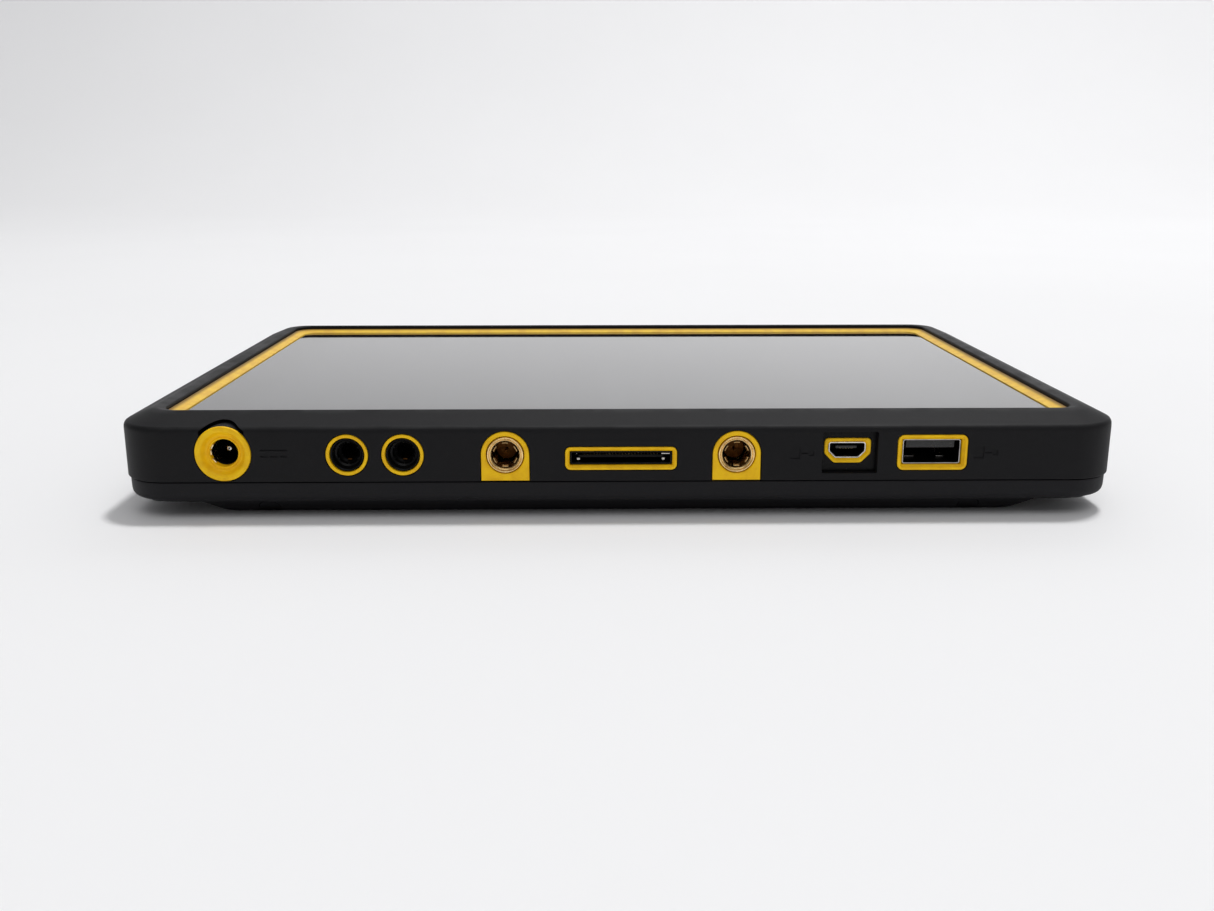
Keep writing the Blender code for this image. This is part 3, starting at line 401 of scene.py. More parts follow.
SHELL_TONE = (0.0048, 0.0047, 0.0056)
YELLOW = (1.0, 0.60, 0.003)
FINISHES = {
    "housing": moulded_black("moulded_black", SHELL_TONE),
    "soft_black": rubber_black(),
    "gloss_black": gloss_black(),
    "seal_yellow": seal_yellow("seal_yellow", YELLOW),
    "screen_glass": screen_glass(),
    "window_glass": window_glass(),
    "plated_steel": plated_steel(),
    "brass": turned_brass(),
    "insulator": pale_insulator(),
    "magnesium": cast_magnesium(),
    "circuit_board": circuit_board(),
    "ceramic_patch": fired_ceramic(),
    "battery_wrap": shrink_wrap(),
}
LOWER_PALER = 1.7
LOWER_FINISH = moulded_black("lower_moulded_black", [LOWER_PALER * value for value in SHELL_TONE])
# The ring's top half millimetre is painted browner, as painted shade beside the crest.
TRIM_FINISH = seal_yellow("trim_yellow", (0.84, 0.54, 0.06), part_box("screen_trim")[1].z / MM - 0.5)
GOLD = contact_gold()
# Brass painted dark brown as shade, for parts deep in bores.
PAINTED_SHADE_BRASS = painted_shade_brass()
DEEP_BLACK = gloss_black("deep_black_plastic", 0.0025, 0.12)
print(len(FINISHES), "finishes by slot, and five of single pieces")

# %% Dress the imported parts
for part in frame["record"]["subparts"]:
    node = frame["nodes"][part["node"]]
    node.data.materials.clear()
    node.data.materials.append(FINISHES[part["material_slot"]])
    node.material_slots[0].link = "OBJECT"
    node.material_slots[0].material = FINISHES[part["material_slot"]]
print(len(frame["nodes"]), "packed parts dressed")


# %% [markdown]
# ## Skins
#
# Nearly every piece of this tablet is a run of matching outlines: the shells are rounded rectangles that
# change height, and the seals are outlines that change depth. So one function skins a list of rings, and one
# function rounds the corners of the profile that the rings follow. A profile point can have any number of
# values (inset, corner radius, height), which are all rounded together, and that keeps the two slopes of the
# shell, which differ in width, in step.

# %% Rings and skins
BODY_STEPS = 14
SMALL_STEPS = 6
ROUND = 72


def rounded(points, cuts, steps=4, closed=True):
    """Rounds each corner of a run of points, starting its cut away from it, or less on a short side."""
    points = [Vector(point) for point in points]
    made = []
    for i, (corner, cut) in enumerate(zip(points, cuts)):
        if not cut or (not closed and i in (0, len(points) - 1)):
            made.append(corner)
            continue
        back, ahead = points[i - 1] - corner, points[(i + 1) % len(points)] - corner
        cut = min(cut, 0.48 * back.length, 0.48 * ahead.length)
        before, after = corner + back * (cut / back.length), corner + ahead * (cut / ahead.length)
        for step in range(steps + 1):
            t = step / steps
            made.append(before.lerp(corner, t).lerp(corner.lerp(after, t), t))
    return made


def rectangle(half_x, half_y, radius, steps=SMALL_STEPS):
    """A rectangle with round corners, as 2D points in millimetres."""
    points = []
    for quarter, (side_x, side_y) in enumerate(((1, 1), (-1, 1), (-1, -1), (1, -1))):
        for step in range(steps + 1):
            angle = math.radians(90 * (quarter + step / steps))
            x = side_x * (half_x - radius) + radius * math.cos(angle)
            y = side_y * (half_y - radius) + radius * math.sin(angle)
            points.append((x, y))
    return points


def circle(radius, steps=ROUND):
    angles = [2 * math.pi * i / steps for i in range(steps)]
    return [(radius * math.cos(angle), radius * math.sin(angle)) for angle in angles]


def shell_ring(inset_x, inset_y, radius, z):
    """The tablet's outline at height z, drawn in from its ends and sides."""
    outline = rectangle(HALF_X - inset_x, HALF_Y - inset_y, radius, BODY_STEPS)
    return [(x, y, z) for x, y in outline]


def upright(outline, y, centre):
    """A 2D outline stood up at depth y about centre, whose X and Z are used."""
    return [(centre[0] + x, y, centre[-1] + z) for x, z in outline]


def flat(outline, z, centre=(0.0, 0.0)):
    return [(centre[0] + x, centre[1] + y, z) for x, y in outline]


def skin(rings, closed=False):
    """A closed surface over rings of equal counts, in millimetres; closed rings go round a hole."""
    bm = bmesh.new()
    loops = [[bm.verts.new(Vector(point) * MM) for point in ring] for ring in rings]
    pairs = list(zip(loops, loops[1:]))
    if closed:
        pairs.append((loops[-1], loops[0]))
    for lower, upper in pairs:
        for i, corner in enumerate(lower):
            j = (i + 1) % len(lower)
            bm.faces.new((corner, lower[j], upper[j], upper[i]))
    if not closed:
        bm.faces.new(loops[0])
        bm.faces.new(loops[-1])
    bmesh.ops.recalc_face_normals(bm, faces=bm.faces)
    return bm


def to_object(bm, name, finish=None):
    mesh = bpy.data.meshes.new(name)
    bm.to_mesh(mesh)
    bm.free()
    if finish:
        mesh.materials.append(finish)
    obj = bpy.data.objects.new(name, mesh)
    bpy.context.scene.collection.objects.link(obj)
    return obj


def merged(*parts):
    """Several meshes under construction as one."""
    whole = bmesh.new()
    for part in parts:
        mesh = bpy.data.meshes.new("part")
        part.to_mesh(mesh)
        part.free()
        whole.from_mesh(mesh)
        bpy.data.meshes.remove(mesh)
    return whole


def baked(obj):
    """Puts the result of an object's modifiers into its mesh."""
    depsgraph = bpy.context.evaluated_depsgraph_get()
    made = bpy.data.meshes.new_from_object(obj.evaluated_get(depsgraph))
    obj.modifiers.clear()
    obj.data = made
    return obj


def carve(obj, cutters, operation="DIFFERENCE"):
    """Cuts (or joins) a mesh under construction from obj."""
    tool = to_object(cutters, "tool")
    boolean = obj.modifiers.new("carve", "BOOLEAN")
    boolean.operation = operation
    boolean.object = tool
    baked(obj)
    bpy.data.objects.remove(tool)
    return obj


def shade(obj, angle=33):
    """Smooth on curved runs, crisp on edges, and level on the flats."""
    obj.data.shade_smooth()
    obj.data.set_sharp_from_angle(angle=math.radians(angle))
    weights = obj.modifiers.new("level", "WEIGHTED_NORMAL")
    weights.keep_sharp = True
    return baked(obj)


def keep(obj, slot, *replaced, body="tablet"):
    """Parents a finished piece to its body, and hides the imported parts that it replaces."""
    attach(obj, body)
    if replaced:
        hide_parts(*replaced)
    print(f"{obj.name}: {len(obj.data.polygons)} faces")
    return obj


def box_mesh(low, high, edge=0.0, segments=2):
    """A block between two corners in millimetres, with its edges rounded."""
    low, high = Vector(low), Vector(high)
    bm = bmesh.new()
    bmesh.ops.create_cube(bm, size=1.0)
    bmesh.ops.scale(bm, vec=high - low, verts=bm.verts)
    bmesh.ops.translate(bm, vec=(low + high) / 2, verts=bm.verts)
    if edge:
        bmesh.ops.bevel(bm, geom=bm.edges, offset=edge, segments=segments, affect="EDGES", profile=0.5)
    bmesh.ops.scale(bm, vec=(MM, MM, MM), verts=bm.verts)
    return bm


def moved(bm, place, turn=0.0, axis="Z"):
    """Turns a mesh under construction about the origin, in degrees, then moves it, in millimetres."""
    matrix = Matrix.Rotation(math.radians(turn), 3, axis)
    bmesh.ops.rotate(bm, cent=(0, 0, 0), matrix=matrix, verts=bm.verts)
    bmesh.ops.translate(bm, vec=Vector(place) * MM, verts=bm.verts)
    return bm


# %% [markdown]
# ## Copies in a row or round a ring
#
# Contacts, spring fingers, ribs, slots and screws are each one small shape repeated by a rule. One Geometry
# Nodes tree does them all: it lays a line of points, sets one instance on each and turns each a little
# further than the last. With a step of nothing and a turn of a sixth of a circle the same tree makes a ring.

# %% The copies tree
def copies_tree():
    tree = bpy.data.node_groups.new("copies", "GeometryNodeTree")
    sockets = (
        ("Geometry", "NodeSocketGeometry"), ("Piece", "NodeSocketObject"), ("Count", "NodeSocketInt"),
        ("Start", "NodeSocketVector"), ("Step", "NodeSocketVector"), ("Turn", "NodeSocketVector"),
        ("Finish", "NodeSocketMaterial"),
    )
    for label, kind in sockets:
        tree.interface.new_socket(label, in_out="INPUT", socket_type=kind)
    tree.interface.new_socket("Geometry", in_out="OUTPUT", socket_type="NodeSocketGeometry")
    given = tree.nodes.new("NodeGroupInput").outputs
    line = tree.nodes.new("GeometryNodeMeshLine")
    piece = tree.nodes.new("GeometryNodeObjectInfo")
    index = tree.nodes.new("GeometryNodeInputIndex")
    turn = tree.nodes.new("ShaderNodeVectorMath")
    turn.operation = "SCALE"
    copies = tree.nodes.new("GeometryNodeInstanceOnPoints")
    real = tree.nodes.new("GeometryNodeRealizeInstances")
    paint = tree.nodes.new("GeometryNodeSetMaterial")
    result = tree.nodes.new("NodeGroupOutput")
    for source, target in (
        (given["Count"], line.inputs["Count"]),
        (given["Start"], line.inputs["Start Location"]),
        (given["Step"], line.inputs["Offset"]),
        (given["Piece"], piece.inputs["Object"]),
        (given["Turn"], turn.inputs[0]),
        (index.outputs[0], turn.inputs["Scale"]),
        (line.outputs[0], copies.inputs["Points"]),
        (piece.outputs["Geometry"], copies.inputs["Instance"]),
        (turn.outputs[0], copies.inputs["Rotation"]),
        (copies.outputs[0], real.inputs[0]),
        (real.outputs[0], paint.inputs[0]),
        (given["Finish"], paint.inputs["Material"]),
        (paint.outputs[0], result.inputs[0]),
    ):
        tree.links.new(source, target)
    return tree


COPIES = copies_tree()
SOCKET_OF = {item.name: item.identifier for item in COPIES.interface.items_tree if item.in_out == "INPUT"}


def repeated(name, bm, finish, count, start=(0, 0, 0), step=(0, 0, 0), turn=(0, 0, 0)):
    """A plain mesh object of count copies of a shape, in millimetres and degrees."""
    template = to_object(bm, "template")
    obj = to_object(bmesh.new(), name)
    nodes = obj.modifiers.new("copies", "NODES")
    nodes.node_group = COPIES
    nodes[SOCKET_OF["Piece"]] = template
    nodes[SOCKET_OF["Count"]] = count
    nodes[SOCKET_OF["Start"]] = tuple(Vector(start) * MM)
    nodes[SOCKET_OF["Step"]] = tuple(Vector(step) * MM)
    nodes[SOCKET_OF["Turn"]] = tuple(math.radians(angle) for angle in turn)
    nodes[SOCKET_OF["Finish"]] = finish
    baked(obj)
    bpy.data.objects.remove(template)
    return obj


def from_object(obj):
    """An object's mesh as a mesh under construction; the object goes."""
    bm = bmesh.new()
    bm.from_mesh(obj.data)
    bpy.data.objects.remove(obj)
    return bm


print("copies tree with", len(COPIES.nodes), "nodes")


# %% [markdown]
# ## Outlines of the openings
#
# Each socket has an outline that its seal, its hole in the wall and its shell all share, a little larger or
# smaller. A function of the growth gives all of them, so they stay parallel.

# %% Outlines
def arch(radius, foot, steps=40):
    """A half circle on straight legs down to foot, by angle about its centre, as matching points."""
    corner = math.atan2(foot, radius)
    lower = [math.pi + corner * i / 4 for i in range(1, 5)]
    base = [math.pi + corner + (math.pi - 2 * corner) * i / 8 for i in range(1, 8)]
    right = [2 * math.pi - corner * (4 - i) / 4 for i in range(4)]
    angles = [math.pi * i / steps for i in range(steps + 1)] + lower + base + right
    points = []
    for angle in angles:
        c, s = math.cos(angle), math.sin(angle)
        reach = radius if s >= -1e-6 else min(radius / max(abs(c), 1e-6), foot / abs(s))
        points.append((reach * c, reach * s))
    return points, angles


def hexagon(half_x, half_z, chamfer, soft=0.35):
    """The six-sided socket outline, with small rounds on its corners."""
    corners = [
        (half_x, half_z), (-half_x, half_z), (-half_x, -half_z + chamfer), (-half_x + chamfer, -half_z),
        (half_x - chamfer, -half_z), (half_x, -half_z + chamfer),
    ]
    return [tuple(point) for point in rounded(corners, [soft * 2, soft * 2] + [soft] * 4)]


def wall_cutter(shape, centre, depth, flare=0.14, at=FRONT):
    """A cutter into a wall at depth at, with a small chamfer at its mouth. Depth may be negative."""
    inward = math.copysign(1, depth)
    rings = [
        upright(shape(flare + 0.4), at - inward * 0.4, centre),
        upright(shape(0.0), at + inward * flare, centre),
        upright(shape(0.0), at + depth, centre),
    ]
    return skin(rings)


POWER, POWER_R = middle("power_seal"), half_size("power_seal").x
AUDIO = [middle("headphone_seal"), middle("microphone_seal")]
AUDIO_R = half_size("headphone_seal").x
ARCH_R = half_size("antenna_seal_left").x
BRASS = [middle("antenna_socket_left"), middle("antenna_socket_right")]
ARCH_FOOT = BRASS[0].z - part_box("antenna_seal_left")[0].z / MM
DOCK, DOCK_HALF = middle("dock_seal"), half_size("dock_seal")
MICRO, MICRO_HALF = middle("micro_usb_seal"), half_size("micro_usb_seal")
USB, USB_HALF = middle("usb_seal"), half_size("usb_seal")
POCKET, POCKET_HALF, POCKET_DEPTH = (51.3, 15.35), (6.2, 4.75), 2.0
COLLAR_DEPTH, COLLAR_STEP = 0.7, 1.0
GAP = 0.13
THROUGH = 5.0


def power_shape(grow):
    return circle(POWER_R + grow)


def audio_shape(grow):
    return circle(AUDIO_R + grow)


def arch_shape(grow):
    return arch(ARCH_R + grow, ARCH_FOOT + grow)[0]


def dock_shape(grow):
    return rectangle(DOCK_HALF.x + grow, DOCK_HALF.z + grow, max(1.25 + grow, 0.2))


def micro_shape(grow):
    return hexagon(MICRO_HALF.x + grow, MICRO_HALF.z + grow, 2.2 + 0.6 * grow, 0.5)


def usb_shape(grow):
    return rectangle(USB_HALF.x + grow, USB_HALF.z + grow, max(1.45 + grow, 0.25))


def pocket_shape(grow):
    return rectangle(POCKET_HALF[0] + grow, POCKET_HALF[1] + grow, 0.35 + max(grow, 0))


print("sockets at X", [round(c.x, 1) for c in (POWER, *AUDIO, *BRASS, DOCK, MICRO, USB)])


# %% [markdown]
# ## The upper shell
#
# The real shell is one moulding: upright side walls, a soft shoulder, a wide slope up to a crest, and a step
# down to the screen. It is skinned from one rounded profile and then carved. The openings get a small
# chamfer, which catches the light as the real edges do. Above the charging socket a round channel is cut
# through the slope, which leaves room for a plug's collar.

# %% Upper shell
SLOPE_X, SLOPE_Y = 7.0, 8.3
RING_GAP = 0.15
EDGE_X = HALF_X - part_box("screen_trim")[1].x / MM - RING_GAP
EDGE_Y = HALF_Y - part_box("screen_trim")[1].y / MM - RING_GAP
SHOULDER = 21.35
PARTING = 9.0
TRIM_LOW, TRIM_HIGH = (corner.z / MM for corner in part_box("screen_trim"))
GLASS_LOW, GLASS_TOP = (corner.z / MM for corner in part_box("cover_glass"))


def upper_profile():
    wall = 3.0
    points = [
        (0.0, 0.0, 11.5, PARTING),
        (0.0, 0.0, 11.5, SHOULDER),
        (SLOPE_X - 0.75, SLOPE_Y - 0.75, 6.3, TOP_Z),
        (EDGE_X, EDGE_Y, 5.2, TOP_Z - 0.3),
        (EDGE_X, EDGE_Y, 5.2, TRIM_LOW - 0.2),
        (EDGE_X + 3.2, EDGE_Y + 3.2, 3.8, TRIM_LOW - 0.2),
        (EDGE_X + 3.2, EDGE_Y + 3.2, 3.8, GLASS_LOW - 0.3),
        (EDGE_X + 6.0, EDGE_Y + 6.0, 2.8, GLASS_LOW - 0.3),
        (EDGE_X + 6.0, EDGE_Y + 6.0, 2.8, 19.1),
        (wall, wall, 8.5, 19.6),
        (wall, wall, 8.5, PARTING),
    ]
    return rounded(points, (0.35, 1.3, 0.9, 0.45, 0, 0, 0, 0, 0, 0, 0))


def glyph_cutters():
    """Sunk signs: a line over three dashes at the charging socket, and a plain plug at each data socket."""
    strokes = [(POWER.x + 8.4, POWER.x + 14.4, 16.2, 16.55)]
    for i in range(3):
        low = POWER.x + 8.4 + 2.2 * i
        strokes.append((low, low + 1.6, 14.75, 15.1))
    for x in (40.6, 81.9):
        strokes += [
            (x - 2.8, x - 0.5, 14.0, 16.6),
            (x - 0.3, x + 1.2, 15.15, 15.45),
            (x + 1.4, x + 2.6, 14.7, 15.9),
        ]
    return [box_mesh((x0, FRONT - 1, z0), (x1, FRONT + 0.22, z1)) for x0, x1, z0, z1 in strokes]


def spread(limit, steps):
    """Evenly spaced values from -limit to limit."""
    return [limit * (2 * i / steps - 1) for i in range(steps + 1)]


def plug_channel():
    """The channel above the charging socket: between two cylinders along Y, above the shoulder."""
    outer, inner = POWER_R + 0.9, POWER_R + 0.12
    half_width = 5.0
    top = [(outer * math.sin(t), outer * math.cos(t)) for t in spread(math.asin(half_width / outer), 24)]
    low = [(inner * math.sin(t), inner * math.cos(t)) for t in spread(math.asin(half_width / inner), 24)]
    outline = top + low[::-1]
    return skin([upright(outline, FRONT - 1, POWER), upright(outline, FRONT + 7, POWER)])


def key_shape(name):
    half = half_size(name)
    half_x, half_z = half.x - 0.6, half.z - 0.6
    return lambda grow: rectangle(half_x + grow, half_z + grow, min(half_x, half_z) + grow - 0.02, 10)


KEYS = ("power_button", "function_button_1", "function_button_2", "volume_rocker")
KEY_Z = middle("power_button").z
KEY_POCKET_X = (middle("power_button").x + middle("volume_rocker").x) / 2 + 3.9
SPEAKER = middle("speaker")


def upper_shell():
    profile = upper_profile()
    shell = to_object(skin([shell_ring(*point) for point in profile], closed=True), "upper_shell")
    slot = lambda grow: rectangle(0.7 + grow, 2.6 + grow, 0.69 + grow)
    front = [
        wall_cutter(lambda g: power_shape(g + GAP), POWER, COLLAR_DEPTH),
        *(wall_cutter(lambda g: audio_shape(g + GAP), centre, THROUGH) for centre in AUDIO),
        *(wall_cutter(lambda g: arch_shape(g + GAP), centre, THROUGH) for centre in BRASS),
        wall_cutter(lambda g: dock_shape(g + GAP), DOCK, THROUGH),
        wall_cutter(lambda g: usb_shape(g + GAP), USB, THROUGH),
        wall_cutter(pocket_shape, POCKET, POCKET_DEPTH, flare=0.1),
        *glyph_cutters(),
    ]
    back = [
        wall_cutter(
            lambda g: rectangle(33.5 + g, 4.5 + g, 4.4 + g, 10), (KEY_POCKET_X, KEY_Z), -1.0, 0.3, HALF_Y,
        ),
        *(
            wall_cutter(slot, (SPEAKER.x + 3.2 * (i - 2), KEY_Z), -THROUGH, 0.15, HALF_Y)
            for i in range(5)
        ),
        wall_cutter(lambda g: circle(0.6 + g, 24), (SPEAKER.x - 16, KEY_Z), -THROUGH, 0.2, HALF_Y),
    ]
    carve(shell, merged(*front, *back))
    holes = [skin([upright(micro_shape(GAP), y, MICRO) for y in (FRONT + 1.5, FRONT + 6)]), plug_channel()]
    collar = power_shape(0.05 - COLLAR_STEP)
    holes.append(skin([upright(collar, y, POWER) for y in (FRONT + COLLAR_DEPTH - 0.2, FRONT + THROUGH)]))
    for name in KEYS:
        shape = key_shape(name)
        centre = middle(name)
        holes.append(skin([upright(shape(0.28), y, centre) for y in (HALF_Y - 5, HALF_Y - 0.5)]))
    carve(shell, merged(*holes))
    shell.data.materials.clear()
    shell.data.materials.append(FINISHES["housing"])
    return keep(shade(shell), "housing", "front_housing")


upper_shell()


# %% [markdown]
# ## The lower shell
#
# Below the parting line the lower shell is set in by half a millimetre. Its edge rolls under to a narrow
# skirt that carries the feet, and a belly slopes down from it to the flat that the tablet lies on.

# %% Lower shell
def lower_profile():
    points = [
        (23.0, 11.5, 6.0, 0.0),
        (19.2, 7.6, 7.0, 0.0),
        (12.3, 3.9, 8.8, 3.6),
        (3.6, 3.3, 8.2, 3.6),
        (0.6, 0.6, 10.9, 4.9),
        (0.5, 0.5, 11.0, PARTING - 0.25),
        (2.9, 2.9, 8.6, PARTING - 0.25),
        (2.9, 2.9, 8.6, 5.6),
        (11.5, 11.5, 7.5, 5.6),
        (21.0, 21.0, 6.0, 2.6),
    ]
    return rounded(points, (0, 1.6, 1.6, 1.5, 1.4, 0.3, 0, 0, 0, 0), closed=False)


def gasket_groove():
    rings = [(1.2, PARTING - 0.9), (1.2, PARTING + 1), (2.2, PARTING + 1), (2.2, PARTING - 0.9)]
    return skin([shell_ring(i, i, 11.5 - i, z) for i, z in rings], closed=True)


def sink(node, extra, deep, steps=40):
    """A round recess from below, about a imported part."""
    centre, size = middle(node), half_size(node).x + extra
    rings = [flat(circle(size + 0.5, steps), -0.5, centre), flat(circle(size, steps), 0.0, centre)]
    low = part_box(node)[0].z / MM
    if low > 1:
        rings = [flat(circle(size, steps), 1.5, centre)]
    return skin(rings + [flat(circle(size, steps), deep, centre)])


FEET = ("foot_front_left", "foot_front_right", "foot_back_left", "foot_back_right")
SCREWS = [f"housing_screw_{i}" for i in range(1, 7)]
COVER, COVER_HALF = middle("battery_cover"), half_size("battery_cover")
LATCHES = {"battery_latch_left": -1, "battery_latch_right": 1}


def dock_notch(x):
    points = [(2.9 * math.cos(math.pi * i / 12), 1.8 * math.sin(math.pi * i / 12)) for i in range(13)]
    return skin([upright(points, y, (x, 3.3)) for y in (FRONT - 1, FRONT + 2.2)])


def lower_shell():
    shell = to_object(skin([shell_ring(*point) for point in lower_profile()]), "lower_shell")
    gap = 0.3
    seat = lambda grow: rectangle(COVER_HALF.x + gap + grow, COVER_HALF.y + gap + grow, 4.0 + grow, 8)
    carve(shell, merged(
        gasket_groove(),
        skin([flat(seat(0.6), -0.5, COVER), flat(seat(0.1), 0.0, COVER), flat(seat(0), 0.2, COVER),
              flat(seat(0), 1.8, COVER)]),
        *(sink(node, 0.3, 4.6) for node in FEET),
        *(sink(node, 0.4, 5.5, 32) for node in SCREWS),
        sink("camera_window", 0.3, 1.1),
        sink("flash_window", 0.3, 1.1),
        *(dock_notch(side * 34.5) for side in (-1, 1)),
    ))
    pockets = []
    for side in LATCHES.values():
        for x0, x1, half_y, z0, z1 in ((57.6, 73, 5.4, -1, 2.4), (57.7, 72.9, 6.6, 2.0, 3.3)):
            x_low, x_high = sorted((side * x0, side * x1))
            pockets.append(box_mesh((x_low, COVER.y - half_y, z0), (x_high, COVER.y + half_y, z1)))
    for pocket in pockets:
        carve(shell, pocket)
    shell.data.materials.clear()
    shell.data.materials.append(LOWER_FINISH)
    return keep(shade(shell), "housing", "rear_housing")


lower_shell()


# %% [markdown]
# ## Screen ring and glass
#
# The ring is a coloured moulding that slopes from under the crest down to the glass, in a shallow hollow
# curve. Its upper part is painted browner, as painted shade beside the crest. The glass is a slab with a
# ground edge.

# %% Ring and glass
def screen_ring():
    x, y = EDGE_X, EDGE_Y
    points = [
        (x + RING_GAP, y + RING_GAP, 5.1, TRIM_LOW),
        (x + RING_GAP, y + RING_GAP, 5.1, TRIM_HIGH - 0.1),
        (x + 0.40, y + 0.40, 4.9, TRIM_HIGH),
        (x + 1.70, y + 1.70, 4.3, GLASS_TOP + 0.42),
        (x + 3.05, y + 3.05, 3.8, GLASS_TOP + 0.15),
        (x + 3.15, y + 3.15, 3.7, TRIM_LOW),
    ]
    profile = rounded(points, (0, 0.08, 0.15, 0.6, 0.12, 0))
    ring = to_object(skin([shell_ring(*p) for p in profile], closed=True), "screen_ring", TRIM_FINISH)
    return keep(shade(ring, 50), "seal_yellow", "screen_trim")


def touch_glass():
    x, y = EDGE_X + 3.5, EDGE_Y + 3.5
    edge = 0.22
    points = [(x, y, 3.4, GLASS_LOW), (x, y, 3.4, GLASS_TOP), (x + 3, y + 3, 1.5, GLASS_TOP)]
    rings = [shell_ring(*p) for p in rounded(points, (0, edge, 0), closed=False)]
    glass = to_object(skin(rings), "touch_glass", FINISHES["screen_glass"])
    return keep(shade(glass, 20), "screen_glass", "cover_glass")


screen_ring()
touch_glass()


# %% [markdown]
# ## Seals
#
# A plug seals against a ring of yellow rubber. Every one of them is an outline swept along a small profile:
# out of the wall, over a rounded lip, across a face or a dish, and back in. The arched ones differ, because
# their outside is an arch and their hole is round, so the two are matched by angle.

# %% Seals
def swept_seal(name, shape, centre, profile, node, at=FRONT):
    """A closed ring: profile holds (growth of the outline, distance out of the wall)."""
    rings = [upright(shape(grow), at - out, centre) for grow, out in profile]
    seal = to_object(skin(rings, closed=True), name, FINISHES["seal_yellow"])
    return keep(shade(seal, 40), "seal_yellow", node)


def power_seal():
    """A dished collar: rounded rim, shallow cone, and a small raised lip round the hole."""
    points = [
        (-COLLAR_STEP, -2.6), (-COLLAR_STEP, -COLLAR_DEPTH + 0.1), (0, -COLLAR_DEPTH + 0.1), (0, 0.0),
        (-1.25, 0.0), (-2.0, -1.3), (-2.58, -1.45), (-2.76, -1.2), (-3.02, -1.2), (-3.15, -1.6),
        (-3.2, -2.6),
    ]
    profile = rounded(points, (0, 0, 0, 0.4, 0.45, 0.35, 0.12, 0.1, 0.08, 0, 0))
    swept_seal("power_socket_seal", power_shape, POWER, profile, "power_seal")


def audio_seals():
    points = [(0, -2.6), (0, 0.0), (-0.78, 0.0), (-0.84, -2.6)]
    profile = rounded(points, (0, 0.26, 0.2, 0))
    for name, centre, node in zip(("left", "right"), AUDIO, ("headphone_seal", "microphone_seal")):
        swept_seal(f"audio_seal_{name}", audio_shape, centre, profile, node)


def frame_seals():
    """Rims with a flat face whose inner side slopes back to the socket's shell."""
    seats = (
        ("dock_connector", dock_shape, DOCK, (0.5, 0.98, 0.55), (0.25, 0.12, 0.1), "dock_seal"),
        ("data_socket", usb_shape, USB, (0.55, 1.15, 0.75), (0.3, 0.15, 0.12), "usb_seal"),
        ("small_data_socket", micro_shape, MICRO, (0.45, 0.95, 0.6), (0.22, 0.1, 0.1), "micro_usb_seal"),
    )
    foot = -2.6
    for name, shape, centre, (face, hole, slope), cuts, node in seats:
        points = [(0, foot), (0, 0.0), (-face, 0.0), (-hole, -slope), (-hole, foot)]
        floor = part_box(node)[0].y / MM if shape is micro_shape else FRONT
        swept_seal(f"{name}_seal", shape, centre, rounded(points, (0, *cuts, 0)), node, floor)


def arched_seals():
    """The face is flat, its lip is thin, and the round hole has a small chamfer."""
    face = 0.1
    outer, angles = arch(ARCH_R, ARCH_FOOT)
    shares = lambda by: [1 - by / math.hypot(x, z) for x, z in outer]
    shrink = lambda by: [(x * share, z * share) for (x, z), share in zip(outer, shares(by))]
    round_at = lambda radius: [(radius * math.cos(a), radius * math.sin(a)) for a in angles]
    for side, centre in zip(("left", "right"), BRASS):
        steps = [
            (outer, -2.6), (outer, -face - 0.28), (shrink(0.08), -face - 0.08), (shrink(0.28), -face),
            (shrink(0.45), -face - 0.03), (round_at(4.55), -face - 0.03), (round_at(4.3), -face - 0.25),
            (round_at(4.22), -2.6),
        ]
        rings = [upright(outline, FRONT - out, centre) for outline, out in steps]
        seal = to_object(skin(rings, closed=True), f"arched_seal_{side}", FINISHES["seal_yellow"])
        keep(shade(seal, 30), "seal_yellow", f"antenna_seal_{side}")


power_seal()
audio_seals()
frame_seals()
arched_seals()


# %% [markdown]
# ## Aerial sockets
#
# Each is a turned brass bush with a stepped face. Inside its bore six sprung fingers grip the plug, painted
# dark amber-brown as the shade in the bore. Their tips catch the light at the bottom of the bore, and a
# contact painted dark brown, as shade, stands at the back.

# %% Aerial sockets
def turned(profile, centre, steps=ROUND):
    """A ring turned about the socket's axis; profile holds (radius, distance out of the wall)."""
    rings = [upright(circle(radius, steps), FRONT - out, centre) for radius, out in profile]
    return skin(rings, closed=True)


def finger():
    """One sprung finger: a strip of the bore's wall that leans in towards its tip."""
    rings = []
    for out, inner, thick in ((-7.5, 2.68, 0.3), (-2.2, 2.5, 0.34), (-1.0, 2.42, 0.36), (-0.75, 2.62, 0.16)):
        arc = [math.radians(-104 + 28 * i / 6) for i in range(7)]
        inside = [(inner * math.cos(a), inner * math.sin(a)) for a in arc]
        outside = [((inner + thick) * math.cos(a), (inner + thick) * math.sin(a)) for a in reversed(arc)]
        rings.append(upright(inside + outside, -out, (0, 0)))
    return skin(rings)


